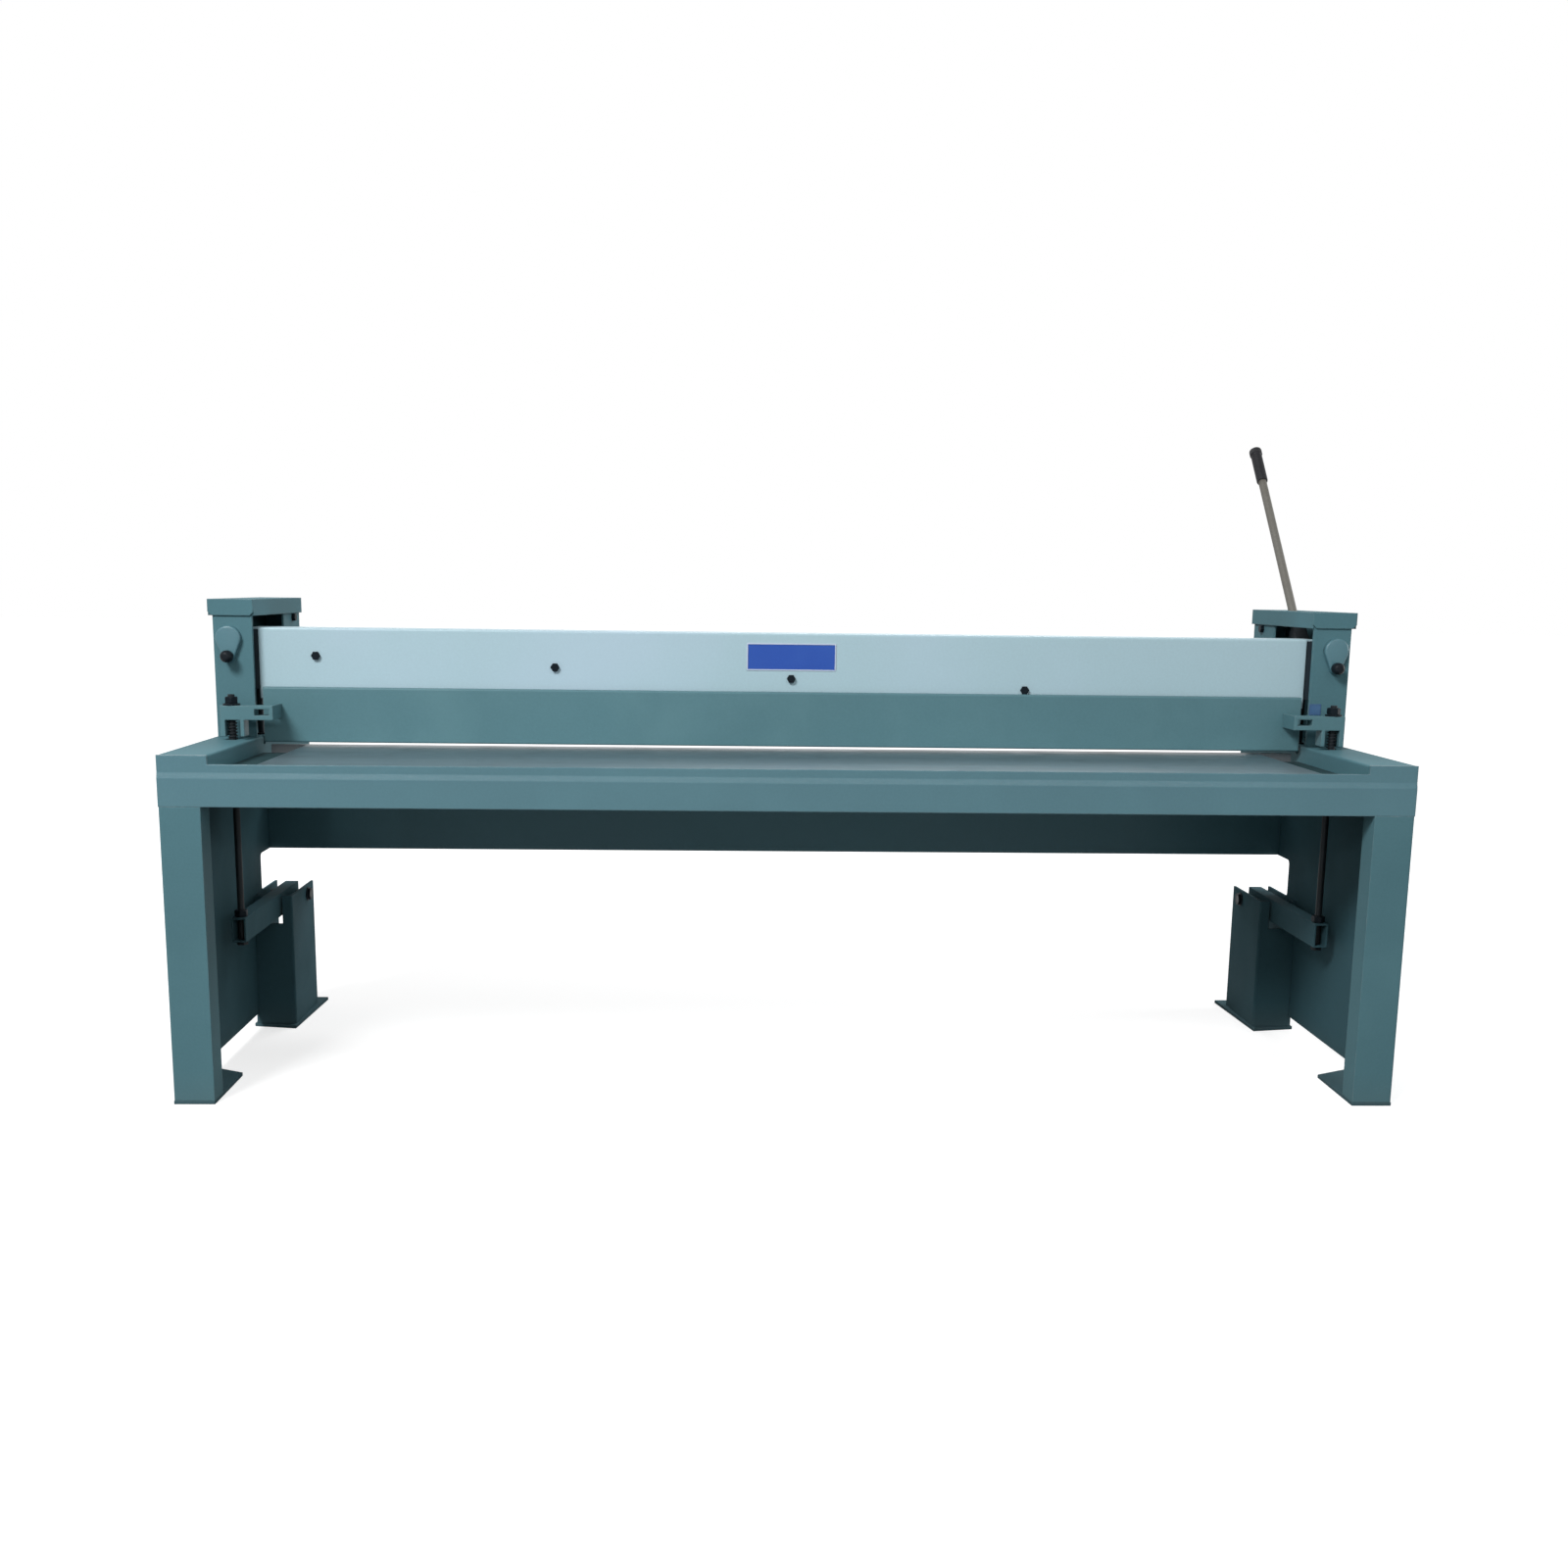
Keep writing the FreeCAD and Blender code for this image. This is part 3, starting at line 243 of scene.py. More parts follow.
# A darker copy of the same blue-green: painted shade on the inner sheets, rear legs, feet, bed beam and arms.
dull_shaded_paint = sprayed(
    "dull_shaded_paint",
    colour=srgb(64, 97, 106), smear_colour=srgb(50, 72, 77), bare_colour=srgb(106, 120, 122),
    drift=0.15, smear=0.4, smear_size=4.0, gloss=(0.6, 0.75), rub=0.4, shine=0.04)
dress(machine_paint, "front_rail")
dress(satin_paint, *both("front_leg", "side_top"))
dress(rear_paint, "rear_beam")
dress(dull_shaded_paint, "bed_beam", *both("front_foot", "side_panel", "rear_leg", "rear_foot"))


# The bed: a thick plate ground along its length, on the painted tray, which is dark partly from grime and
# partly as painted shade in the trough, with the lower blade let in flush along its back edge. The steel is
# oiled, so it is dark, streaked along the grinding and stained in places.
def ground_grain():
    # Fine streaks along the grinding, and stains that change the tone and the gloss.
    tree, given, result = new_group(
        "ground_grain",
        (
            ("Colour", "NodeSocketColor", (0.5, 0.5, 0.5, 1.0)),
            ("Stain Colour", "NodeSocketColor", (0.3, 0.28, 0.25, 1.0)),
            ("Stretch", "NodeSocketVector", (3.0, 500.0, 500.0)),
            ("Streak", "NodeSocketFloat", 0.2),
            ("Stain", "NodeSocketFloat", 0.3),
            ("Gloss Low", "NodeSocketFloat", 0.3),
            ("Gloss High", "NodeSocketFloat", 0.4),
        ),
        (("Colour", "NodeSocketColor"), ("Roughness", "NodeSocketFloat"), ("Height", "NodeSocketFloat")),
    )
    given = given.outputs
    place = tree.nodes.new("ShaderNodeTexCoord").outputs["Object"]
    stretched = tree.nodes.new("ShaderNodeVectorMath")
    stretched.operation = "MULTIPLY"
    tree.links.new(place, stretched.inputs[0])
    tree.links.new(given["Stretch"], stretched.inputs[1])
    streaks = noise(tree, stretched.outputs["Vector"], Scale=1.0, Detail=4.0, Roughness=0.6)
    stains = noise(tree, place, Scale=9.0, Detail=6.0, Roughness=0.6, Distortion=0.8)
    darkest = maths(tree, "SUBTRACT", 1.0, given["Streak"])
    tone = spread(tree, streaks, From_Min=0.3, From_Max=0.7, To_Min=darkest, To_Max=1.05)
    stain = spread(tree, stains, From_Min=0.48, From_Max=0.74, To_Max=given["Stain"])
    gloss = spread(tree, stains, From_Min=0.3, From_Max=0.7,
                   To_Min=given["Gloss Low"], To_Max=given["Gloss High"])
    shade = shaded(tree, given["Colour"], tone)
    feed(tree, result, Colour=blended(tree, stain, shade, given["Stain Colour"]),
         Roughness=gloss, Height=streaks)
    return tree


ground_grain_group = ground_grain()
along_machine = (1.2, 36.0, 36.0)
up_and_down = (60.0, 60.0, 2.0)
all_ways = (140.0, 140.0, 140.0)


def steel(name, colour, stain_colour, stretch, streak, stain, gloss, metallic, depth=0.0001, worn_and_highlit_edge=0.3,
          shine=0.5):
    material, tree, shader = new_material(name)
    grain = fitted(tree, ground_grain_group, Colour=colour, Stain_Colour=stain_colour, Stretch=stretch,
                   Streak=streak, Stain=stain, Gloss_Low=gloss[0], Gloss_High=gloss[1])
    edges = fitted(tree, edge_rub_and_highlight_group, Width=0.0012, Amount=worn_and_highlit_edge)
    bump = placed(tree, "ShaderNodeBump", Strength=0.2, Distance=depth, Height=grain.outputs["Height"],
                  Normal=edges.outputs["Normal"])
    # Edges go towards a pale grey: partly steel rubbed bright, partly a painted highlight along the edges.
    worn_and_highlit = blended(tree, edges.outputs["Mask"], grain.outputs["Colour"], srgb(168, 176, 180))
    feed(tree, shader, Base_Color=worn_and_highlit, Roughness=grain.outputs["Roughness"],
         Normal=bump.outputs["Normal"], Metallic=metallic, Specular_IOR_Level=shine)
    return material


ground_steel = steel(
    "ground_steel",
    colour=srgb(112, 130, 138), stain_colour=srgb(84, 96, 100), stretch=along_machine,
    streak=0.22, stain=0.5, gloss=(0.30, 0.38), metallic=0.75, depth=0.00001, worn_and_highlit_edge=0.9)
blade_steel = steel(
    "blade_steel",
    colour=srgb(116, 122, 126), stain_colour=srgb(94, 98, 98), stretch=along_machine,
    streak=0.15, stain=0.3, gloss=(0.30, 0.42), metallic=0.6, depth=0.00001, worn_and_highlit_edge=0.6)
# The tray's dark colour is partly grime and partly painted shade in the trough beside the plate.
tray_grime_and_shade_paint = sprayed(
    "tray_grime_and_shade_paint",
    colour=srgb(50, 74, 78), smear_colour=srgb(38, 52, 54), bare_colour=srgb(120, 134, 134),
    drift=0.15, smear=0.5, smear_size=9.0, gloss=(0.5, 0.6), rub=0.4, shine=0.08)
dress(tray_grime_and_shade_paint, "bed_tray")
dress(ground_steel, "bed_plate")
dress(blade_steel, "lower_blade", "upper_blade")


# The towers: plates and folded posts welded on the side frames, each closed by a folded lid. A black bolt and
# nut go through the inner sheet of each rear post. A small blank plate is on the right tower's front.
dress(satin_paint, *both("tower_front_plate", "tower_side_plate", "tower_rear_post", "tower_cap"))

black_oxide = steel(
    "black_oxide",
    colour=srgb(17, 26, 33), stain_colour=srgb(30, 38, 44), stretch=all_ways,
    streak=0.25, stain=0.5, gloss=(0.44, 0.58), metallic=0.05, worn_and_highlit_edge=0.2, shine=0.08)


def only(piece):
    bpy.ops.object.select_all(action="DESELECT")
    piece.select_set(True)
    bpy.context.view_layer.objects.active = piece


def shape(piece):
    # To edit mode, with nothing selected yet.
    only(piece)
    bpy.ops.object.mode_set(mode="EDIT")
    bpy.ops.mesh.select_all(action="DESELECT")


def write_place(piece):
    # Place, turn and size go into the mesh, and the object comes back to the origin.
    only(piece)
    bpy.ops.object.transform_apply(location=True, rotation=True, scale=True)


def settle(piece, smooth_deg=35.0):
    # Out of edit mode with doubles merged and faces outwards, then smooth where faces meet at a low angle.
    bpy.ops.mesh.select_all(action="SELECT")
    bpy.ops.mesh.remove_doubles(threshold=0.00001)
    bpy.ops.mesh.normals_make_consistent(inside=False)
    bpy.ops.object.mode_set(mode="OBJECT")
    write_place(piece)
    bpy.ops.object.shade_smooth_by_angle(angle=math.radians(smooth_deg))
    return piece


def pick(piece, kind, wanted):
    # Selects the faces or edges of the piece in edit mode that pass the test.
    bpy.ops.mesh.select_mode(type=kind)
    bpy.ops.mesh.select_all(action="DESELECT")
    mesh = bmesh.from_edit_mesh(piece.data)
    mesh.normal_update()
    for part in (mesh.faces if kind == "FACE" else mesh.edges):
        part.select = wanted(part)
    mesh.select_flush_mode()
    bmesh.update_edit_mesh(piece.data)


def looks_up(face):
    return face.normal.z > 0.99


def looks_down(face):
    return face.normal.z < -0.99


def on_rim(edge, radius, height):
    # Is this edge part of the circle of that radius at that height?
    near = 0.0002
    ends = [vertex.co for vertex in edge.verts]
    return all(abs(math.hypot(end.x, end.y) - radius) < near and abs(end.z - height) < near for end in ends)


def draw_out(x, y, z):
    # The faces in hand are drawn out, or sunk, by that much.
    bpy.ops.mesh.extrude_region_move(TRANSFORM_OT_translate={"value": (x, y, z)})


def round_blank(name, sides, radius, height, low=0.0):
    # A piece of round bar, upright on the origin or above it, in edit mode and ready to be shaped.
    bpy.ops.object.select_all(action="DESELECT")
    bpy.ops.mesh.primitive_cylinder_add(vertices=sides, radius=radius, depth=height, end_fill_type="NGON",
                                        location=(0.0, 0.0, low + height / 2.0))
    blank = bpy.context.object
    blank.name = name
    write_place(blank)
    shape(blank)
    return blank


def cut_six_flats(across):
    for number in range(6):
        angle = math.radians(60.0 * number)
        outwards = (math.cos(angle), math.sin(angle), 0.0)
        middle = (outwards[0] * across / 2.0, outwards[1] * across / 2.0, 0.0)
        bpy.ops.mesh.select_all(action="SELECT")
        bpy.ops.mesh.bisect(plane_co=middle, plane_no=outwards, use_fill=True, clear_outer=True)


def turned_ring(name, outer_d, bore_d, height, chamfer, flats=None):
    # A washer or nut with its bore and chamfers turned; a nut then gets its six flats.
    sides = 36
    radius = outer_d / 2.0
    wall = radius - bore_d / 2.0
    ring = round_blank(name, sides, radius, height)
    pick(ring, "FACE", lambda face: looks_up(face) or looks_down(face))
    bpy.ops.mesh.inset(thickness=wall * math.cos(math.pi / sides), use_individual=True)
    bpy.ops.mesh.delete(type="FACE")
    pick(ring, "EDGE", lambda edge: edge.is_boundary)
    bpy.ops.mesh.bridge_edge_loops()
    pick(ring, "EDGE", lambda edge: on_rim(edge, radius, height) or on_rim(edge, radius, 0.0))
    bpy.ops.mesh.bevel(offset=chamfer, offset_type="OFFSET", segments=1)
    if flats:
        cut_six_flats(flats)
    return settle(ring, smooth_deg=30.0)


def bolt_head(name, flats, height, shank_d, shank_length):
    # A hexagon head with its turned chamfer, and as much of the shank as stands out below it.
    corner_radius = flats / math.sqrt(3.0)
    chamfer = 1.1 * (corner_radius - flats / 2.0)
    head = round_blank(name, sides=36, radius=corner_radius, height=height)
    pick(head, "EDGE", lambda edge: on_rim(edge, corner_radius, height))
    bpy.ops.mesh.bevel(offset=chamfer, offset_type="OFFSET", segments=1)
    cut_six_flats(flats)
    pick(head, "FACE", looks_down)
    bpy.ops.mesh.inset(thickness=(flats - shank_d) / 2.0)
    draw_out(0.0, 0.0, -shank_length)
    return settle(head, smooth_deg=30.0)


def another(piece, name, place, turn=(0.0, 0.0, 0.0)):
    # A copy with its own mesh, turned and then moved to its place.
    copy = piece.copy()
    copy.data = piece.data.copy()
    copy.name = name
    bpy.context.collection.objects.link(copy)
    copy.rotation_euler = turn
    copy.location = place
    write_place(copy)
    return copy


def joined(name, pieces):
    only(pieces[0])
    for piece in pieces:
        piece.select_set(True)
    bpy.ops.object.join()
    pieces[0].name = name
    return pieces[0]


def done_with(*pieces):
    for piece in pieces:
        bpy.data.objects.remove(piece)


def coat(piece, material, body):
    piece.data.materials.clear()
    piece.data.materials.append(material)
    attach(piece, body)
    return piece


quarter = math.pi / 2.0
post_face_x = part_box("tower_rear_post_right")[0].x
post_sheet = 0.006
post_bolt_y = 0.335
post_bolt_z = 1.077
post_head_gap = 0.0003
post_nut_gap = 0.0004
post_bolt = bolt_head("post_bolt", flats=0.019, height=0.009, shank_d=0.0136, shank_length=0.014)
post_nut = turned_ring("post_nut", outer_d=0.0219, bore_d=0.0137, height=0.008, chamfer=0.0012, flats=0.019)
post_fasteners = []
for side in (-1.0, 1.0):
    inwards = (0.0, -side * quarter, 0.0)
    outwards = (0.0, side * quarter, 0.0)
    head_x = side * (post_face_x - post_head_gap)
    nut_x = side * (post_face_x + post_sheet + post_nut_gap)
    post_fasteners.append(another(post_bolt, "bolt", (head_x, post_bolt_y, post_bolt_z), inwards))
    post_fasteners.append(another(post_nut, "nut", (nut_x, post_bolt_y, post_bolt_z), outwards))
done_with(post_bolt, post_nut)
coat(joined("post_bolts", post_fasteners), black_oxide, "base")


def blank_plate(name, low, high, face_y, thickness, corner, border):
    # A thin plate with rounded corners and a raised border, flat on the face behind it.
    border_rise = 0.4 * thickness
    width, height = high[0] - low[0], high[1] - low[1]
    middle = ((low[0] + high[0]) / 2.0, face_y - thickness / 2.0, (low[1] + high[1]) / 2.0)
    bpy.ops.object.select_all(action="DESELECT")
    bpy.ops.mesh.primitive_cube_add(size=1.0, location=middle, scale=(width, thickness, height))
    plate = bpy.context.object
    plate.name = name
    write_place(plate)
    shape(plate)
    pick(plate, "EDGE", lambda edge: abs(edge.verts[0].co.y - edge.verts[1].co.y) > thickness / 2.0)
    bpy.ops.mesh.bevel(offset=corner, offset_type="OFFSET", segments=5)
    pick(plate, "FACE", lambda face: face.normal.y < -0.99)
    bpy.ops.mesh.inset(thickness=border)
    draw_out(0.0, border_rise, 0.0)
    return settle(plate, smooth_deg=30.0)


small_plate_blue = sprayed(
    "small_plate_blue",
    colour=srgb(70, 106, 146), smear_colour=srgb(88, 122, 154), bare_colour=srgb(130, 150, 180),
    drift=0.12, smear=0.3, smear_size=30.0, gloss=(0.35, 0.5), rub=0.3, shine=0.2)
tower_tag = blank_plate(
    "tower_tag", low=(1.2995, 0.874), high=(1.330, 0.902), face_y=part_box("tower_front_plate_right")[0].y,
    thickness=0.0008, corner=0.002, border=0.0015)
coat(tower_tag, small_plate_blue, "base")


# The guides, bearings and spring tubes inside the towers: machined iron blocks and flanges, greased, each
# flange held by four low cap screws. Closed steel tubes for the beam's springs stand through the side frames.
guide_iron = steel(
    "guide_iron",
    colour=srgb(50, 62, 70), stain_colour=srgb(40, 46, 50), stretch=up_and_down,
    streak=0.2, stain=0.6, gloss=(0.5, 0.65), metallic=0.1, worn_and_highlit_edge=0.2, shine=0.15)
dark_steel = steel(
    "dark_steel",
    colour=srgb(44, 52, 58), stain_colour=srgb(58, 58, 56), stretch=all_ways,
    streak=0.2, stain=0.5, gloss=(0.44, 0.58), metallic=0.2, worn_and_highlit_edge=0.2, shine=0.2)
turned_steel = steel(
    "turned_steel",
    colour=srgb(118, 118, 114), stain_colour=srgb(92, 88, 80), stretch=all_ways,
    streak=0.12, stain=0.45, gloss=(0.34, 0.48), metallic=0.6, shine=0.3)
dress(guide_iron, "blade_guides", "shaft_bearings")
dress(dark_steel, "spring_housings", "arm_pivot_pins")
dress(turned_steel, "cross_shaft")


def middle_of(node):
    low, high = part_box(node)
    return (low + high) / 2.0


def socket_screw(name, head_d, height, rounding, wall, socket_depth):
    # A round screw head with a softened rim and a sunk socket for its key.
    head = round_blank(name, sides=24, radius=head_d / 2.0, height=height)
    pick(head, "EDGE", lambda edge: on_rim(edge, head_d / 2.0, height))
    bpy.ops.mesh.bevel(offset=rounding, offset_type="OFFSET", segments=2)
    pick(head, "FACE", looks_up)
    bpy.ops.mesh.inset(thickness=wall)
    draw_out(0.0, 0.0, -socket_depth)
    return settle(head)


screw_gap = 0.0001
flange_width = 0.014
flange_screw_reach = 0.032
flange_face_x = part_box("shaft_bearings")[1].x - flange_width
shaft_y, shaft_z = middle_of("shaft_bearings").yz
cap_screw = socket_screw("cap_screw", head_d=0.013, height=0.004, rounding=0.0008, wall=0.0026,
                         socket_depth=0.0025)
flange_screws = []
for side in (-1.0, 1.0):
    for across in (-flange_screw_reach, flange_screw_reach):
        for rise in (-flange_screw_reach, flange_screw_reach):
            place = (side * (flange_face_x - screw_gap), shaft_y + across, shaft_z + rise)
            flange_screws.append(another(cap_screw, "screw", place, (0.0, -side * quarter, 0.0)))
done_with(cap_screw)
coat(joined("bearing_screws", flange_screws), black_oxide, "base")


# The blade beam: folded sheet in pale blue paint, with a blank blue plate on its face, bordered in white. The
# raked carrier bar behind it holds the upper blade with a row of socket screws, and black hexagon bolts
# through the beam's face clamp the carrier.
# The beam's large pale lilac smears are painted reflection patches on its face.
beam_paint = sprayed(
    "beam_paint",
    colour=srgb(169, 196, 205), smear_colour=srgb(182, 200, 218), bare_colour=srgb(196, 208, 212),
    drift=0.05, smear=0.5, smear_size=1.6, gloss=(0.30, 0.38), rub=0.3, shine=0.3)
plate_blue = sprayed(
    "plate_blue",
    colour=srgb(38, 80, 168), smear_colour=srgb(60, 100, 178), bare_colour=srgb(120, 140, 200),
    drift=0.08, smear=0.15, smear_size=12.0, gloss=(0.30, 0.38), rub=0.2, shine=0.3)
border_white = sprayed(
    "border_white",
    colour=srgb(196, 208, 226), smear_colour=srgb(180, 194, 214), bare_colour=srgb(220, 224, 230),
    drift=0.05, smear=0.2, smear_size=12.0, gloss=(0.30, 0.40), rub=0.2, shine=0.2)
dress(beam_paint, "upper_beam")
dress(machine_paint, "blade_carrier")
dress(black_oxide, "beam_bolts")
dress(dark_steel, "spring_plungers", *both("beam_end_plate"))
dress(guide_iron, "beam_slides")

plate_low = (-0.103, 0.968)
plate_high = (0.119, 1.036)
beam_plate = blank_plate("beam_plate", low=plate_low, high=plate_high, face_y=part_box("upper_beam")[0].y,
                         thickness=0.001, corner=0.004, border=0.0035)
coat(beam_plate, plate_blue, "blade_beam")
beam_plate.data.materials.append(border_white)
plate_width = plate_high[0] - plate_low[0]
plate_height = plate_high[1] - plate_low[1]
for face in beam_plate.data.polygons:
    off_middle_x = abs(face.center.x - (plate_low[0] + plate_high[0]) / 2.0)
    off_middle_z = abs(face.center.z - (plate_low[1] + plate_high[1]) / 2.0)
    blue = off_middle_x < plate_width / 4.0 and off_middle_z < plate_height / 4.0
    face.material_index = 0 if blue else 1

blade_screw_count = 12
blade_screw_pitch = 0.21
screw_line_z = 0.866
rake = 0.0378
carrier_back_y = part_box("blade_carrier")[1].y
blade_screw = socket_screw("blade_screw", head_d=0.018, height=0.009, rounding=0.001, wall=0.0035,
                           socket_depth=0.005)
blade_screws = []
for number in range(blade_screw_count):
    x = blade_screw_pitch * (number - (blade_screw_count - 1) / 2.0)
    place = (x, carrier_back_y + screw_gap, screw_line_z - rake * x)
    blade_screws.append(another(blade_screw, "screw", place, (-quarter, 0.0, 0.0)))
done_with(blade_screw)
coat(joined("blade_screws", blade_screws), black_oxide, "blade_beam")


# The hand lever: a steel bar in a forged socket on the cross shaft, with the two cranks and their rollers.
# Its grip is a moulded black sleeve with shallow rings and a thicker end, pushed over the bar.
bar_steel = steel(
    "bar_steel",
    colour=srgb(106, 104, 98), stain_colour=srgb(88, 84, 76), stretch=all_ways,
    streak=0.12, stain=0.5, gloss=(0.46, 0.60), metallic=0.3)
dress(bar_steel, "hand_lever")
dress(dark_steel, "lever_hub", *both("crank"))
dress(turned_steel, "crank_pins", "crank_rollers")


def moulded(name, colour, worn_colour, grain_size, gloss, shine):
    # Moulded rubber or plastic: fine grain, paler and smoother where hands polish it.
    material, tree, shader = new_material(name)
    place = tree.nodes.new("ShaderNodeTexCoord").outputs["Object"]
    handled = noise(tree, place, Scale=22.0, Detail=4.0)
    grain = noise(tree, place, Scale=grain_size, Detail=2.0)
    worn = spread(tree, handled, From_Min=0.40, From_Max=0.72, To_Max=0.6)
    rough = spread(tree, handled, From_Min=0.3, From_Max=0.7, To_Min=gloss[1], To_Max=gloss[0])
    bump = placed(tree, "ShaderNodeBump", Strength=0.3, Distance=0.0003, Height=grain)
    feed(tree, shader, Base_Color=blended(tree, worn, colour, worn_colour), Roughness=rough,
         Normal=bump.outputs["Normal"], Specular_IOR_Level=shine)
    return material


def draw_on(step, wider):
    # The end face in hand is drawn on by a step along the sleeve and made wider or narrower.
    draw_out(0.0, 0.0, step)
    bpy.ops.transform.resize(value=(wider, wider, 1.0))


grip_black = moulded("grip_black", colour=srgb(26, 27, 30), worn_colour=srgb(42, 42, 46), grain_size=900.0,
                     gloss=(0.42, 0.60), shine=0.2)
lever_x = middle_of("hand_lever").x
lever_lean = math.radians(40.8)
grip_start = 0.675
thick_end_start = 0.7757
grip_tip = 0.7957
grip_radius = 0.015
thick_end_radius = 0.017
mouth_radius = 0.0142
mouth_depth = 0.002
bore_radius = 0.0112
bore_depth = 0.112
flare = 0.0015
ring_count = 10
groove_in, groove_floor, groove_out = 0.001, 0.001, 0.002
groove_share = 0.94
tip_rounding = ((0.0025, 0.96), (0.0020, 0.88), (0.0005, 0.70))

grip = round_blank("lever_sleeve", sides=32, radius=mouth_radius, height=mouth_depth, low=grip_start)
pick(grip, "FACE", looks_up)
draw_on(flare, grip_radius / mouth_radius)
ring_pitch = (thick_end_start - grip_start - mouth_depth - flare) / ring_count
for ring in range(ring_count):
    draw_on(ring_pitch - groove_in - groove_floor - groove_out, 1.0)
    draw_on(groove_in, groove_share)
    draw_on(groove_floor, 1.0)
    draw_on(groove_out, 1.0 / groove_share)
draw_on(flare, thick_end_radius / grip_radius)
draw_on(grip_tip - thick_end_start - flare - sum(step for step, share in tip_rounding), 1.0)
for step, share in tip_rounding:
    draw_on(step, share)
pick(grip, "FACE", lambda face: looks_down(face) and face.calc_center_median().z < grip_start + flare)
bpy.ops.mesh.inset(thickness=mouth_radius - bore_radius)
draw_out(0.0, 0.0, bore_depth)
grip.rotation_euler = (-lever_lean, 0.0, 0.0)
grip.location = (lever_x, shaft_y, shaft_z)
settle(grip, smooth_deg=40.0)
coat(grip, grip_black, "hand_lever_and_shaft")
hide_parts("lever_grip")


# The clamp: a folded bar with a welded yoke at each end. Each yoke is held by a long rod through the side
# frame, under a black washer and nut, and rests on a coil spring that lifts it when the arm lets go. The
# spring is black as painted shade, darkening the windows under each yoke.
clamp_paint = sprayed(
    "clamp_paint",
    colour=srgb(86, 124, 132), smear_colour=srgb(104, 142, 148), bare_colour=srgb(140, 158, 160),
    drift=0.10, smear=0.25, smear_size=5.0, gloss=(0.34, 0.44), rub=0.5, shine=0.2)
rod_steel = steel(
    "rod_steel",
    colour=srgb(34, 40, 44), stain_colour=srgb(52, 52, 50), stretch=up_and_down,
    streak=0.2, stain=0.5, gloss=(0.46, 0.58), metallic=0.15, worn_and_highlit_edge=0.2, shine=0.15)
# The springs' black is painted shade: it darkens the windows under the yokes.
shade_black_spring = steel(
    "shade_black_spring",
    colour=srgb(28, 34, 38), stain_colour=srgb(44, 48, 50), stretch=all_ways,
    streak=0.2, stain=0.4, gloss=(0.40, 0.55), metallic=0.1, worn_and_highlit_edge=0.2, shine=0.15)
dress(clamp_paint, "clamp_bar", *both("clamp_yoke"))
dress(rod_steel, *both("pull_rod"))

rod_x, rod_y = middle_of("pull_rod_right").xy
rod_d = 0.016
yoke_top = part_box("clamp_yoke_right")[1].z
arm_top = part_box("clamp_arm_right")[1].z
washer_height = 0.004
washer_gap = 0.0001
nut_gap = 0.0003
upper_nut_turn, lower_nut_turn = 0.26, 0.10
washer = turned_ring("washer", outer_d=0.040, bore_d=rod_d + 0.0004, height=washer_height, chamfer=0.0008)
nut = turned_ring("nut", outer_d=0.0323, bore_d=rod_d + 0.0002, height=0.016, chamfer=0.0022, flats=0.028)
nuts = []
for side in (-1.0, 1.0):
    x = side * rod_x
    upper_nut_z = yoke_top + washer_height + nut_gap
    nuts.append(another(washer, "washer", (x, rod_y, yoke_top + washer_gap)))
    nuts.append(another(nut, "nut", (x, rod_y, upper_nut_z), (0.0, 0.0, upper_nut_turn)))
    nuts.append(another(nut, "nut", (x, rod_y, arm_top + nut_gap), (0.0, 0.0, lower_nut_turn)))
done_with(washer, nut)
rod_nuts = joined("rod_nuts", nuts)
coat(rod_nuts, black_oxide, "clamp")
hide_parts("pull_rod_nuts")

yoke_bottom = 0.843
stand_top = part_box("side_top_right")[1].z
spring_wire = 0.003
spring_radius = 0.0102
spring_turns = 6
spring_gap = 0.0003
steps_per_turn = 28
spring_rise = yoke_bottom - stand_top - 2.0 * spring_gap
bpy.ops.object.select_all(action="DESELECT")
bpy.ops.mesh.primitive_circle_add(vertices=10, radius=spring_wire / 2.0, fill_type="NOTHING",
                                  location=(spring_radius, 0.0, 0.0), rotation=(quarter, 0.0, 0.0))
coil = bpy.context.object
coil.name = "coil"
write_place(coil)
winding = coil.modifiers.new("winding", "SCREW")
winding.axis = "Z"
winding.angle = 2.0 * math.pi
winding.screw_offset = (spring_rise - spring_wire) / spring_turns
winding.iterations = spring_turns
winding.steps = steps_per_turn
winding.render_steps = steps_per_turn
winding.use_merge_vertices = True
bpy.ops.object.modifier_apply(modifier="winding")
shape(coil)
pick(coil, "EDGE", lambda edge: edge.is_boundary)
bpy.ops.mesh.edge_face_add()
settle(coil, smooth_deg=60.0)
for label, side in (("left", -1.0), ("right", 1.0)):
    spring = another(coil, "lift_spring_" + label,
                     (side * rod_x, rod_y, stand_top + spring_wire / 2.0 + spring_gap))
    coat(spring, shade_black_spring, "base")
    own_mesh(spring)
done_with(coil)


